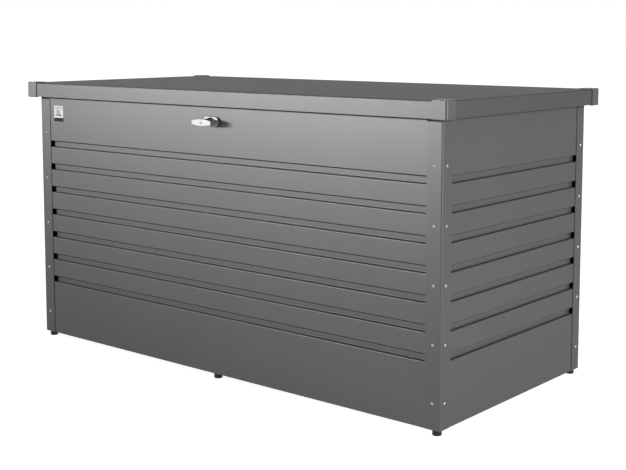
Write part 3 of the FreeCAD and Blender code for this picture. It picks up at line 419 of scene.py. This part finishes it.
def apply_modifiers(mesh, name, *modifiers):
    """The mesh after modifiers given as (type, settings)."""
    holder = new_object(name + "_holder", mesh)
    for kind, settings in modifiers:
        modifier = holder.modifiers.new(kind.lower(), kind)
        for key, value in settings.items():
            setattr(modifier, key, value)
    return settle(holder, name)


def settle(holder, name):
    """The mesh that an object's modifiers make. The object itself goes."""
    bpy.context.view_layer.update()
    evaluated = holder.evaluated_get(bpy.context.evaluated_depsgraph_get())
    mesh = bpy.data.meshes.new_from_object(evaluated)
    mesh.name = name
    bpy.data.objects.remove(holder)
    return mesh


def add_block(shape, low, high, bevel, steps, only=None):
    """Add a block between two corners, with its edges rounded, or only those that a test picks."""
    middle = (Vector(low) + Vector(high)) / 2
    size = Vector(high) - Vector(low)
    place = Matrix.Translation(middle) @ Matrix.Diagonal((*size, 1))
    made = bmesh.ops.create_cube(shape, size=1, matrix=place)
    edges = {edge for vertex in made["verts"] for edge in vertex.link_edges}
    chosen = [edge for edge in edges if only is None or only(edge)]
    bmesh.ops.bevel(shape, geom=chosen, offset=bevel, segments=steps, profile=0.5, affect="EDGES")


def add_lathe(shape, profile, steps, foot=Vector()):
    """Add a solid of revolution about an upright line from (radius, height) points above a foot."""
    rings = []
    for radius, height in profile:
        ring = []
        for step in range(steps if radius else 1):
            angle = 2 * math.pi * step / steps
            point = Vector((radius * math.cos(angle), radius * math.sin(angle), height))
            ring.append(shape.verts.new(foot + point))
        rings.append(ring)
    for below, above in zip(rings, rings[1:]):
        for step in range(steps):
            following = (step + 1) % steps
            corners = [below[step % len(below)], below[following % len(below)],
                       above[following % len(above)], above[step % len(above)]]
            unique = list(dict.fromkeys(corners))
            if len(unique) > 2:
                shape.faces.new(unique)
    for ring in (rings[0], rings[-1]):
        if len(ring) > 2:
            shape.faces.new(ring)


def arc(centre, radius, start, end, steps):
    """Points along an arc in a plane, angles in degrees."""
    points = []
    for step in range(steps + 1):
        angle = math.radians(start + (end - start) * step / steps)
        points.append((centre[0] + radius * math.cos(angle), centre[1] + radius * math.sin(angle)))
    return points


def copy_of_node(node, edge=0.0, reshape=None):
    """A merged copy of a node's own mesh, reshaped by a function, with its sharp edges broken by a width."""
    shape = bmesh.new()
    shape.from_mesh(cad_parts[node].data)
    bmesh.ops.remove_doubles(shape, verts=shape.verts, dist=1e-6)
    bmesh.ops.dissolve_limit(shape, angle_limit=math.radians(0.5), verts=shape.verts, edges=shape.edges)
    if reshape:
        reshape(shape)
    mesh = mesh_from(shape, node + "_copy", turn_out=False)
    if edge:
        return apply_modifiers(mesh, node + "_mesh", ("BEVEL", {
            "width": edge, "segments": 2, "limit_method": "ANGLE", "angle_limit": math.radians(40),
            "use_clamp_overlap": True, "harden_normals": False}))
    return mesh


# --- Geometry Nodes --------------------------------------------------------------------------------------


def new_tree(name, inputs):
    """A geometry tree with named inputs given as (name, socket type, default)."""
    tree = bpy.data.node_groups.new(name, "GeometryNodeTree")
    for label, kind, default in inputs:
        socket = tree.interface.new_socket(label, in_out="INPUT", socket_type=kind)
        if default is not None:
            socket.default_value = default
    tree.interface.new_socket("Geometry", in_out="OUTPUT", socket_type="NodeSocketGeometry")
    graph = Graph(tree)
    entry = graph.node("NodeGroupInput")
    named = {label: graph.out(entry, label) for label, _, _ in inputs}
    return tree, graph, named


def end_tree(graph, geometry, material):
    """Realize the instances, set the material and close the tree."""
    real = graph.out(graph.node("GeometryNodeRealizeInstances", {}, {"Geometry": geometry}))
    coated = graph.out(graph.node("GeometryNodeSetMaterial", {}, {"Geometry": real, "Material": material}))
    graph.node("NodeGroupOutput", {}, {"Geometry": coated})


def run_tree(tree, name, values):
    """Evaluate a geometry tree with the given inputs and return the plain mesh."""
    holder = new_object(name + "_holder", bpy.data.meshes.new(name + "_seed"))
    modifier = holder.modifiers.new("tree", "NODES")
    modifier.node_group = tree
    for item in tree.interface.items_tree:
        if item.in_out == "INPUT" and item.name in values:
            modifier[item.identifier] = values[item.name]
    return settle(holder, name)


def grooved_sheet_tree():
    """The folded face of a wall: x runs along it, y = 0 is its outer face and +y is inwards.

    The sheet is one grid. Its columns stand at the wall's ends, the channels' ends and the vents; its rows
    walk up the fold line, four rounded bends to a groove, and each row's place follows from its number.
    """
    length = "NodeSocketFloat"
    tree, graph, size = new_tree("grooved_sheet", [
        ("Half Width", length, 0.76), ("Channel Half", length, 0.74), ("Floor Half", length, 0.71),
        ("Height", length, 0.8), ("First", length, 0.17), ("Groove", length, 0.017), ("Pitch", length, 0.073),
        ("Depth", length, 0.01), ("Bend", length, 0.003), ("Sheet", length, 0.001),
        ("Fold Shade", length, 0.5), ("Count", "NodeSocketInt", 7), ("Steps", "NodeSocketInt", 4),
        ("Material", "NodeSocketMaterial", None)])
    per_bend = size["Steps"] + 1
    rows = size["Count"] * 4 * per_bend + 2
    grid = graph.node("GeometryNodeMeshGrid", {}, {
        "Size X": 1.0, "Size Y": 1.0, "Vertices X": 6, "Vertices Y": rows})
    index = graph.out(graph.node("GeometryNodeInputIndex"))
    row = index % rows
    column = graph.maths("FLOOR", index / rows)

    step = (row - 1) % per_bend
    bend = graph.maths("FLOOR", (row - 1) / per_bend)
    groove = graph.maths("FLOOR", bend / 4)
    corner = bend % 4
    turn = step / size["Steps"] * (math.pi / 2)
    ledge = size["First"] + groove * size["Pitch"]
    soffit = ledge + size["Groove"]
    inside = size["Bend"] - size["Sheet"]
    back = size["Depth"] - inside
    radius = graph.pick(corner, [size["Bend"], inside, inside, size["Bend"]])
    centre_y = graph.pick(corner, [size["Bend"], back, back, size["Bend"]])
    centre_z = graph.pick(corner, [ledge - size["Bend"], ledge + inside,
                                   soffit - inside, soffit + size["Bend"]])
    angle = graph.pick(corner, [math.pi - turn, turn - math.pi / 2, turn, -turn - math.pi / 2])
    fold_y = centre_y + radius * graph.maths("COSINE", angle)
    fold_z = centre_z + radius * graph.maths("SINE", angle)

    first_row = row < 0.5
    last_row = row > rows - 1.5
    on_fold = (1 - first_row) * (1 - last_row)
    y = fold_y * on_fold
    z = fold_z * on_fold + size["Height"] * last_row
    x = graph.pick(column, [-size["Half Width"], -size["Channel Half"], -size["Floor Half"],
                            size["Floor Half"], size["Channel Half"], size["Half Width"]])
    place = graph.out(graph.node("ShaderNodeCombineXYZ", {}, {"X": x, "Y": y, "Z": z}))
    folded = graph.out(graph.node("GeometryNodeSetPosition", {}, {
        "Geometry": graph.out(grid, "Mesh"), "Position": place}))

    # Painted shade sits inside the bend under each slat, the last of a groove's four, and not at the bend's
    # ends.
    under_slat = (corner > 2.5) * (step > 0.5) * (step < size["Steps"] - 0.5) * on_fold
    stored = {"data_type": "FLOAT", "domain": "POINT"}
    folded = graph.out(graph.node("GeometryNodeStoreNamedAttribute", stored, {
        "Geometry": folded, "Name": "fold_shade", "Value": under_slat * size["Fold Shade"]}))

    # The floors stop at the vents, and behind the posts only the outer sheet goes on.
    position = graph.out(graph.node("GeometryNodeInputPosition"))
    here = graph.node("ShaderNodeSeparateXYZ", {}, {"Vector": position})
    along = graph.maths("ABSOLUTE", graph.out(here, "X"))
    in_depth = graph.out(here, "Y")
    floor = (along > size["Floor Half"]) * (in_depth > size["Depth"] - size["Sheet"] * 0.5)
    past_channel = (along > size["Channel Half"]) * (in_depth > size["Sheet"])
    gone = graph.maths("MAXIMUM", floor, past_channel) > 0.5
    open_sheet = graph.out(graph.node("GeometryNodeDeleteGeometry", {"domain": "FACE"}, {
        "Geometry": folded, "Selection": gone}))
    end_tree(graph, open_sheet, size["Material"])
    return tree


def screw_column_tree():
    """A column of dome screws up a post, from one screw's mesh."""
    length = "NodeSocketFloat"
    tree, graph, size = new_tree("screw_column", [
        ("Screw", "NodeSocketObject", None), ("Count", "NodeSocketInt", 5), ("Spacing", length, 0.146),
        ("Start", "NodeSocketVector", None), ("Turn", "NodeSocketVector", None),
        ("Material", "NodeSocketMaterial", None)])
    offset = graph.out(graph.node("ShaderNodeCombineXYZ", {}, {"Z": size["Spacing"]}))
    line = graph.out(graph.node("GeometryNodeMeshLine", {"mode": "OFFSET"}, {
        "Count": size["Count"], "Start Location": size["Start"], "Offset": offset}))
    screw = graph.out(graph.node("GeometryNodeObjectInfo", {}, {"Object": size["Screw"]}), "Geometry")
    turn = graph.out(graph.node("FunctionNodeEulerToRotation", {}, {"Euler": size["Turn"]}))
    placed = graph.out(graph.node("GeometryNodeInstanceOnPoints", {}, {
        "Points": line, "Instance": screw, "Rotation": turn}))
    end_tree(graph, placed, size["Material"])
    return tree


# --- Sizes that a user may change ------------------------------------------------------------------------


def share(name, description, default):
    """A number from 0 to 1 that a user may change."""
    return bpy.props.FloatProperty(name=name, description=description, default=default, min=0.0, max=1.0)


def watts(name, description, default):
    """A lamp's power that a user may change."""
    return bpy.props.FloatProperty(name=name, description=description, default=default, min=0.0, unit="POWER")


def degrees(name, description, default):
    """An angle that a user may change, given in degrees."""
    return bpy.props.FloatProperty(name=name, description=description, default=math.radians(default),
                                   subtype="ANGLE")


def metres(name, description, default):
    """A length that a user may change."""
    return bpy.props.FloatProperty(name=name, description=description, default=default, unit="LENGTH",
                                   subtype="DISTANCE", min=0.0, precision=5)


class DECKBOX_WallSizes(bpy.types.PropertyGroup):
    """Folds of the four walls."""

    groove_first: metres("First groove", "Height of the lowest groove's ledge above the wall's foot", 0.1678)
    groove_height: metres("Groove height", "Clear height of a groove", 0.01735)
    groove_pitch: metres("Groove pitch", "Distance from one groove to the next", 0.07305)
    groove_depth: metres("Groove depth", "How far a groove is sunk", 0.010)
    groove_count: bpy.props.IntProperty(name="Grooves", description="Grooves in each wall", default=7, min=1)
    bend: metres("Bend radius", "Outer radius of a fold", 0.003)
    sheet: metres("Sheet", "Thickness of the wall sheet", 0.001)
    # How strong the painted shade in the folds under the slats is, on the long walls and on the short ones.
    shade_long: share("Long wall dirt", "Painted shade in a long wall's folds under the slats", 0.95)
    shade_short: share("Short wall dirt", "Painted shade in a short wall's folds under the slats", 0.3)
    vent_front: metres("Front vent", "Gap between a long wall's groove floor and the post's edge", 0.0072)
    vent_side: metres("Side vent", "Gap between a short wall's groove floor and the post's edge", 0.0012)
    under_post: metres("Under post", "How far a groove runs on behind a post", 0.020)
    flange_long: metres("Long wall flange", "Width of the flange along the top of a long wall", 0.015)
    flange_short: metres("Short wall flange", "Width of the flange along the top of a short wall", 0.020)
    corner_gap: metres("Corner gap", "Play between a long wall's flanges and the short walls", 0.0018)


class DECKBOX_FittingSizes(bpy.types.PropertyGroup):
    """Screws, lid, feet and lock."""

    screw_count: bpy.props.IntProperty(name="Screws", description="Screws up each face of a post", default=5,
                                       min=2)
    screw_head: metres("Screw head", "Radius of a screw's head", 0.0039)
    screw_dome: metres("Screw dome", "Height of a screw's head", 0.0024)
    shank_radius: metres("Shank", "Radius of a screw's shank", 0.0025)
    shank_length: metres("Shank length", "Length of a screw's shank", 0.0088)
    inset_long: metres("Long wall screws", "From a post's corner to the screws in a long wall", 0.0233)
    inset_short: metres("Short wall screws", "From a post's corner to the screws in a short wall", 0.0207)
    lid_bend: metres("Lid bend", "Radius of the lid's folded edges", 0.004)
    lid_sheet: metres("Lid sheet", "Thickness of the lid sheet", 0.001)
    cap_edge: metres("Cap edge", "How far the caps' edges are rounded", 0.0012)
    broken_edge: metres("Broken edge", "How far the sheets' and the handle's sharp edges are broken", 0.0003)
    foot_collar: metres("Foot collar", "Height of the thin collar at a foot's top", 0.0015)
    foot_lip: metres("Foot lip", "How far the collar stands out past the pad", 0.002)
    foot_bend: metres("Foot bend", "Radius of the pad's lower edge", 0.0018)
    foot_hollow: metres("Foot hollow", "Depth of the hollow in the pad's underside", 0.0006)
    foot_first: metres("First foot groove", "Height of the lowest groove round a pad", 0.0045)
    foot_pitch: metres("Foot groove pitch", "Distance from one groove round a pad to the next", 0.003)
    foot_cut: metres("Foot groove depth", "Depth of a groove round a pad", 0.0004)


class DECKBOX_StageSettings(bpy.types.PropertyGroup):
    """Light and camera."""

    daylight: share("Daylight", "Strength of the even light from all round", 0.31)
    backdrop: share("Backdrop", "Brightness of the surroundings in reflections", 0.85)
    key_light: watts("Key light", "Power of the soft lamp at the front left", 11.2)
    side_light: watts("Side light", "Power of the strip lamp at the right", 57.0)
    key_spread: degrees("Key spread", "Angle that the grid leaves to the key light", 38)
    floor_tone: share("Floor tone", "Paleness of the floor's paint", 0.8)
    floor_white: share("Floor white", "How much the floor glows to the camera", 0.88)
    lens: bpy.props.FloatProperty(name="Lens", description="Focal length on a sensor 36 mm wide",
                                  default=67.288, min=10.0, unit="CAMERA")
    shift: bpy.props.FloatProperty(name="Shift", description="Vertical shift of the lens", default=-0.13)
    camera_place: bpy.props.FloatVectorProperty(name="Camera", description="Where the camera stands",
                                                default=(2.3089, -2.6792, 0.9848), subtype="TRANSLATION")
    camera_turn: degrees("Turn", "Heading of the camera to the left of +Y", 39.927)
    camera_tilt: degrees("Tilt", "How far the camera looks down", 5.920)


# --- Walls and posts -------------------------------------------------------------------------------------


def wall_matrix(side):
    """From a wall's own frame, foot at z = 0 and outer face at y = 0, to its place on the box."""
    lo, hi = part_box(side + "_panel")
    place = {"front": Vector((0, lo.y, lo.z)), "rear": Vector((0, hi.y, lo.z)),
             "right": Vector((hi.x, 0, lo.z)), "left": Vector((lo.x, 0, lo.z))}[side]
    return Matrix.Translation(place) @ Matrix.Rotation(math.radians(WALLS[side]), 4, "Z")


class DECKBOX_OT_walls(bpy.types.Operator):
    """Make the four grooved walls"""

    bl_idname = "deckbox.walls"
    bl_label = "Walls"

    def execute(self, context):
        edge = context.scene.deckbox_fittings.broken_edge
        tree = grooved_sheet_tree()
        for side in WALLS:
            self.make_wall(context.scene.deckbox_walls, edge, tree, side)
        return {"FINISHED"}

    def make_wall(self, size, edge, tree, side):
        """One wall: the grooved face from the tree, with a flange along its foot and one along its top."""
        lo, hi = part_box(side + "_panel")
        post_lo, post_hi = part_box("post_front_right")
        long_wall = side in ("front", "rear")
        extent = hi - lo
        half = (extent.x if long_wall else extent.y) / 2
        post_edge = post_lo.x if long_wall else -post_hi.y
        vent = size.vent_front if long_wall else size.vent_side
        face = run_tree(tree, side + "_face", {
            "Half Width": half, "Channel Half": post_edge + size.under_post, "Floor Half": post_edge - vent,
            "Height": extent.z, "First": size.groove_first, "Groove": size.groove_height,
            "Pitch": size.groove_pitch, "Depth": size.groove_depth, "Bend": size.bend, "Sheet": size.sheet,
            "Fold Shade": size.shade_long if long_wall else size.shade_short,
            "Count": size.groove_count, "Steps": 5, "Material": finish_of("coated_sheet")})
        inwards = 1.0 if self.faces_in(face) else -1.0
        face = apply_modifiers(face, side + "_sheet", ("SOLIDIFY", {
            "thickness": size.sheet, "offset": inwards, "use_even_offset": True}))
        shape = bmesh.new()
        shape.from_mesh(face)
        in_width = extent.y if long_wall else extent.x
        top_width = size.flange_long if long_wall else size.flange_short
        flange_half = post_hi.x - in_width - size.corner_gap if long_wall else half
        for foot, width in ((0, in_width), (extent.z - size.sheet, top_width)):
            far = (flange_half, width, foot + size.sheet)
            add_block(shape, (-flange_half, size.sheet, foot), far, edge, 1)
        bmesh.ops.transform(shape, matrix=wall_matrix(side), verts=shape.verts)
        mesh = mesh_from(shape, side + "_wall")
        add_piece(side + "_wall", mesh, "box", "coated_sheet", side + "_panel")

    @staticmethod
    def faces_in(mesh):
        """Whether the flat face's normals point into the box."""
        return sum(polygon.normal.y * polygon.area for polygon in mesh.polygons) > 0


class DECKBOX_OT_posts(bpy.types.Operator):
    """Make the four corner posts from the model's own, with their sharp edges broken"""

    bl_idname = "deckbox.posts"
    bl_label = "Posts"

    def execute(self, context):
        edge = context.scene.deckbox_fittings.broken_edge
        for corner in CORNERS:
            node = "post_" + corner
            post = copy_of_node(node, edge)
            add_piece("corner_post_" + corner, post, "box", "coated_post", node)
        return {"FINISHED"}


class DECKBOX_OT_screws(bpy.types.Operator):
    """Make the dome screws in the posts, five up each face"""

    bl_idname = "deckbox.screws"
    bl_label = "Post screws"

    def execute(self, context):
        size = context.scene.deckbox_fittings
        screw = self.one_screw(size)
        tree = screw_column_tree()
        lo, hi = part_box("corner_screws")
        spacing = (hi.z - lo.z - 2 * size.screw_head) / (size.screw_count - 1)
        shape = bmesh.new()
        for number, (start, turn) in enumerate(self.columns(size, lo.z + size.screw_head)):
            column = run_tree(tree, "screw_column_%d" % number, {
                "Screw": screw, "Count": size.screw_count, "Spacing": spacing, "Start": start, "Turn": turn,
                "Material": finish_of("screw_steel")})
            shape.from_mesh(column)
        bpy.data.objects.remove(screw)
        mesh = mesh_from(shape, "post_screws", turn_out=False)
        add_piece("post_screws", mesh, "box", "screw_steel", "corner_screws", angle=50)
        return {"FINISHED"}

    @staticmethod
    def columns(size, low):
        """The start and turn of each column: on every post one in a long wall, then one in a short wall."""
        post_lo, post_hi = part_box("post_front_right")
        for right in (-1, 1):
            for back in (-1, 1):
                across = right * (post_hi.x - size.inset_long)
                yield (across, back * -post_lo.y, low), (math.radians(-90 * back), 0, 0)
                deep = back * (-post_lo.y - size.inset_short)
                yield (right * post_hi.x, deep, low), (0, math.radians(90 * right), 0)

    @staticmethod
    def one_screw(size):
        """A low dome with a round socket, head up along +Z, with its shank below."""
        head, dome, shank = size.screw_head, size.screw_dome, size.shank_radius
        socket = head * 0.36
        floor = dome * 0.45
        lip = 0.0001
        ball = (head ** 2 + dome ** 2) / (2 * dome)
        rise = [(radius, dome - ball + math.sqrt(ball ** 2 - radius ** 2))
                for radius in (head * 0.97, head * 0.85, head * 0.68, head * 0.52, socket * 1.08)]
        profile = [(0, -size.shank_length), (shank, -size.shank_length), (shank, 0), (head, 0)] + rise
        profile += [(socket, rise[-1][1] - lip), (socket, floor), (0, floor)]
        shape = bmesh.new()
        add_lathe(shape, profile, 18)
        return new_object("screw", mesh_from(shape, "screw"))


# --- Lid -------------------------------------------------------------------------------------------------


class DECKBOX_OT_lid(bpy.types.Operator):
    """Make the lid's folded shell and its corner caps"""

    bl_idname = "deckbox.lid"
    bl_label = "Lid and caps"

    def execute(self, context):
        size = context.scene.deckbox_fittings
        lo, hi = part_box("lid_shell")
        shape = bmesh.new()

        def folded(edge):
            a, b = (vertex.co for vertex in edge.verts)
            return (a.z + b.z) / 2 > lo.z + 1e-5

        add_block(shape, lo, hi, size.lid_bend, 5, folded)
        under = [face for face in shape.faces if face.normal.z < -0.9]
        bmesh.ops.delete(shape, geom=under, context="FACES")
        mesh = mesh_from(shape, "lid_skin")
        if sum(polygon.normal.z * polygon.area for polygon in mesh.polygons) < 0:
            mesh.flip_normals()
        mesh = apply_modifiers(mesh, "lid_sheet_mesh", ("SOLIDIFY", {
            "thickness": size.lid_sheet, "offset": -1.0, "use_even_offset": True}))
        add_piece("lid_sheet_shell", mesh, "lid", "coated_lid", "lid_shell")
        for corner in CORNERS:
            node = "lid_cap_" + corner
            cap = copy_of_node(node, size.cap_edge)
            add_piece("corner_cap_" + corner, cap, "lid", "cap_plastic", node)
        return {"FINISHED"}


# --- Feet ------------------------------------------------------------------------------------------------


class DECKBOX_OT_feet(bpy.types.Operator):
    """Make the six moulded feet"""

    bl_idname = "deckbox.feet"
    bl_label = "Feet"

    def execute(self, context):
        for row in ("front", "rear"):
            for column in ("left", "center", "right"):
                self.make_foot(context.scene.deckbox_fittings, "foot_%s_%s" % (row, column))
        return {"FINISHED"}

    @staticmethod
    def make_foot(size, node):
        """A pad with three grooves round it and a shallow hollow under it, below a thin collar."""
        lo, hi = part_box(node)
        middle = (lo + hi) / 2
        top = hi.z - lo.z
        collar = (hi.x - lo.x) / 2
        pad = collar - size.foot_lip
        bend, cut, chamfer = size.foot_bend, size.foot_cut, size.broken_edge
        profile = [(0, size.foot_hollow), (pad * 0.6, size.foot_hollow), (pad * 0.62, 0), (pad - bend, 0)]
        profile += arc((pad - bend, bend), bend, -90, 0, 4)
        for groove in range(3):
            level = size.foot_first + groove * size.foot_pitch
            profile += [(pad, level), (pad - cut, level + cut)]
            profile += [(pad - cut, level + 2.5 * cut), (pad, level + 3.5 * cut)]
        under = top - size.foot_collar
        profile += [(pad, under), (collar - chamfer, under), (collar, under + chamfer)]
        profile += [(collar, top), (0, top)]
        shape = bmesh.new()
        add_lathe(shape, profile, 40, Vector((middle.x, middle.y, lo.z)))
        add_piece("pad_" + node, mesh_from(shape, node + "_mesh"), "box", "foot_plastic", node)


# --- Lock ------------------------------------------------------------------------------------------------


class DECKBOX_OT_lock(bpy.types.Operator):
    """Make the turning handle, its rosette and the key plug from the model's own"""

    bl_idname = "deckbox.lock"
    bl_label = "Lock handle"

    def execute(self, context):
        edge = context.scene.deckbox_fittings.broken_edge
        handle = copy_of_node("t_handle", edge, self.taper_grip)
        rosette = copy_of_node("lock_rosette")
        plug = copy_of_node("key_plug", edge)
        add_piece("turning_handle", handle, "handle", "handle_face", "t_handle", angle=40)
        add_piece("handle_rosette", rosette, "box", "rosette_satin", "lock_rosette",
                  angle=40)
        add_piece("key_plug_face", plug, "key", "plug_steel", "key_plug", angle=40)
        return {"FINISHED"}

    @staticmethod
    def taper_grip(shape):
        """Draw the grip's ends in, so that it has the outline of a boat."""
        lo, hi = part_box("t_handle")
        half, middle = (hi.x - lo.x) / 2, (lo.z + hi.z) / 2
        for step in range(1 - GRIP_CUTS, GRIP_CUTS):
            bmesh.ops.bisect_plane(shape, geom=shape.verts[:] + shape.edges[:] + shape.faces[:], dist=1e-6,
                                   plane_co=(half * step / GRIP_CUTS, 0, 0), plane_no=(1, 0, 0))
        for vertex in shape.verts:
            if vertex.co.y < lo.y + GRIP_DEPTH:
                narrowing = 1 - GRIP_TAPER * (vertex.co.x / half) ** 2
                vertex.co.z = middle + (vertex.co.z - middle) * narrowing


# --- Everything that keeps its own mesh ------------------------------------------------------------------


# Finishes, each with the names or the starts of names of the nodes that have it.
KEPT = {
    "coated_sheet": ("floor_panel", "corner_stiffeners"),
    "spangled_zinc": ("floor_beam_", "front_top_rail", "rear_top_rail", "lid_rail_", "bar_guides",
                      "lock_case"),
    "zinc_steel": ("lock_bar_", "lock_pinion", "lock_spindle", "striker_", "spring_foot_bracket_",
                   "spring_lid_bracket_", "body_hinge_leaf_", "lid_hinge_leaf_", "hinge_pins"),
    "screw_steel": ("corner_nuts", "foot_studs"),
    "bumper_rubber": ("lid_bumpers",),
    "cylinder_black": ("gas_cylinder_",),
    "rod_chrome": ("gas_rod_",),
    "label_face": ("label_plate",),
}


class DECKBOX_OT_fittings(bpy.types.Operator):
    """Finish the rails, hinges, springs and inner lock parts that keep the model's own shape"""

    bl_idname = "deckbox.fittings"
    bl_label = "Inner fittings"

    def execute(self, context):
        for name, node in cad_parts.items():
            for finish_name, starts in KEPT.items():
                if name.startswith(starts):
                    node.data.materials.clear()
                    node.data.materials.append(finish_of(finish_name))
        return {"FINISHED"}


# --- Stage -----------------------------------------------------------------------------------------------


class DECKBOX_OT_stage(bpy.types.Operator):
    """Make the floor, the light and the camera"""

    bl_idname = "deckbox.stage"
    bl_label = "Stage"

    def execute(self, context):
        scene = context.scene
        size = scene.deckbox_stage
        scene.view_settings.view_transform = "Standard"
        self.make_floor(size)
        self.make_world(scene, size)
        self.make_lamps(size)
        self.make_camera(scene, size)
        return {"FINISHED"}

    @staticmethod
    def ray_masks(graph):
        """Masks for the rays that see a thing directly or through something, and for reflections of it."""
        path = graph.node("ShaderNodeLightPath")
        camera, through = graph.out(path, "Is Camera Ray"), graph.out(path, "Is Transmission Ray")
        return graph.maths("MAXIMUM", camera, through), graph.out(path, "Is Glossy Ray")

    def make_floor(self, size):
        """A pale floor that takes the shadows and also glows to the camera, so that it ends in white."""
        shape = bmesh.new()
        bmesh.ops.create_grid(shape, x_segments=1, y_segments=1, size=FLOOR_REACH)
        floor = new_object("floor", mesh_from(shape, "floor"))
        material, graph = finish("floor_paint")
        seen, mirrored = self.ray_masks(graph)
        white = (seen + mirrored * size.backdrop) * size.floor_white
        paint = graph.out(graph.node("ShaderNodeBsdfDiffuse", {}, {"Color": grey(size.floor_tone)}))
        glow = graph.out(graph.node("ShaderNodeEmission", {}, {"Color": grey(1.0), "Strength": white}))
        total = graph.node("ShaderNodeAddShader")
        graph.tree.links.new(paint.socket, total.inputs[0])
        graph.tree.links.new(glow.socket, total.inputs[1])
        close(graph, graph.out(total))
        floor.data.materials.append(material)

    def make_world(self, scene, size):
        """White surroundings: full for the camera, a little dimmer in reflections, and weak as a light."""
        world = bpy.data.worlds.new("studio")
        world.use_nodes = True
        graph = Graph(world.node_tree)
        seen, mirrored = self.ray_masks(graph)
        strength = seen * (1.0 - size.daylight) + mirrored * (size.backdrop - size.daylight) + size.daylight
        glow = graph.out(graph.node("ShaderNodeBackground", {}, {"Color": grey(1.0), "Strength": strength}))
        graph.node("ShaderNodeOutputWorld", {}, {"Surface": glow})
        scene.world = world

    def make_lamps(self, size):
        """A wide soft lamp with a grid to the left of the front, and a strip lamp on the right."""
        self.add_lamp("key_lamp", size.key_light, size.key_spread)
        self.add_lamp("side_lamp", size.side_light, math.pi)

    def add_lamp(self, name, power, spread):
        aim, heading, climb, distance, face = LAMPS[name]
        target = Vector(aim)
        data = bpy.data.lights.new(name, "AREA")
        data.shape = "RECTANGLE"
        data.size, data.size_y = face
        data.energy = power
        data.spread = spread
        lamp = new_object(name, data)
        lamp.location = self.away(target, heading, climb, distance)
        lamp.rotation_euler = (target - lamp.location).to_track_quat("-Z", "Y").to_euler()
        lamp.visible_camera = False

    @staticmethod
    def away(point, heading, climb, distance):
        """A place at a distance from a point: the heading in degrees turns from the front to the right."""
        turn, rise = math.radians(heading), math.radians(climb)
        level = math.cos(rise)
        return point + distance * Vector((math.sin(turn) * level, -math.cos(turn) * level, math.sin(rise)))

    @staticmethod
    def make_camera(scene, size):
        data = bpy.data.cameras.new("camera")
        data.lens = size.lens
        data.sensor_width = 36.0
        data.shift_y = size.shift
        data.clip_end = VIEW_REACH
        camera = new_object("camera", data)
        camera.location = size.camera_place
        camera.rotation_euler = (math.pi / 2 - size.camera_tilt, 0.0, size.camera_turn)
        scene.camera = camera


# --- The add-on ------------------------------------------------------------------------------------------


OPERATORS = (DECKBOX_OT_walls, DECKBOX_OT_posts, DECKBOX_OT_screws, DECKBOX_OT_lid, DECKBOX_OT_feet,
             DECKBOX_OT_lock, DECKBOX_OT_fittings, DECKBOX_OT_stage)
GROUPS = {"deckbox_walls": DECKBOX_WallSizes, "deckbox_fittings": DECKBOX_FittingSizes,
          "deckbox_stage": DECKBOX_StageSettings}


class DECKBOX_PT_panel(bpy.types.Panel):
    """Lists the operators in the order in which they are run"""

    bl_idname = "DECKBOX_PT_panel"
    bl_label = "Deck storage box"
    bl_space_type = "VIEW_3D"
    bl_region_type = "UI"
    bl_category = "Deck box"

    def draw(self, context):
        for name in GROUPS:
            group = getattr(context.scene, name)
            for label in group.bl_rna.properties.keys():
                if label not in ("rna_type", "name"):
                    self.layout.prop(group, label)
        for operator in OPERATORS:
            self.layout.operator(operator.bl_idname)


def register():
    for group in GROUPS.values():
        bpy.utils.register_class(group)
    for name, group in GROUPS.items():
        setattr(bpy.types.Scene, name, bpy.props.PointerProperty(type=group))
    for operator in OPERATORS:
        bpy.utils.register_class(operator)
    bpy.utils.register_class(DECKBOX_PT_panel)


def unregister():
    bpy.utils.unregister_class(DECKBOX_PT_panel)
    for operator in reversed(OPERATORS):
        bpy.utils.unregister_class(operator)
    for name, group in GROUPS.items():
        delattr(bpy.types.Scene, name)
        bpy.utils.unregister_class(group)


def main():
    register()
    bpy.ops.deckbox.walls()
    bpy.ops.deckbox.posts()
    bpy.ops.deckbox.screws()
    bpy.ops.deckbox.lid()
    bpy.ops.deckbox.feet()
    bpy.ops.deckbox.lock()
    bpy.ops.deckbox.fittings()
    bpy.ops.deckbox.stage()


if __name__ == "__main__":
    main()
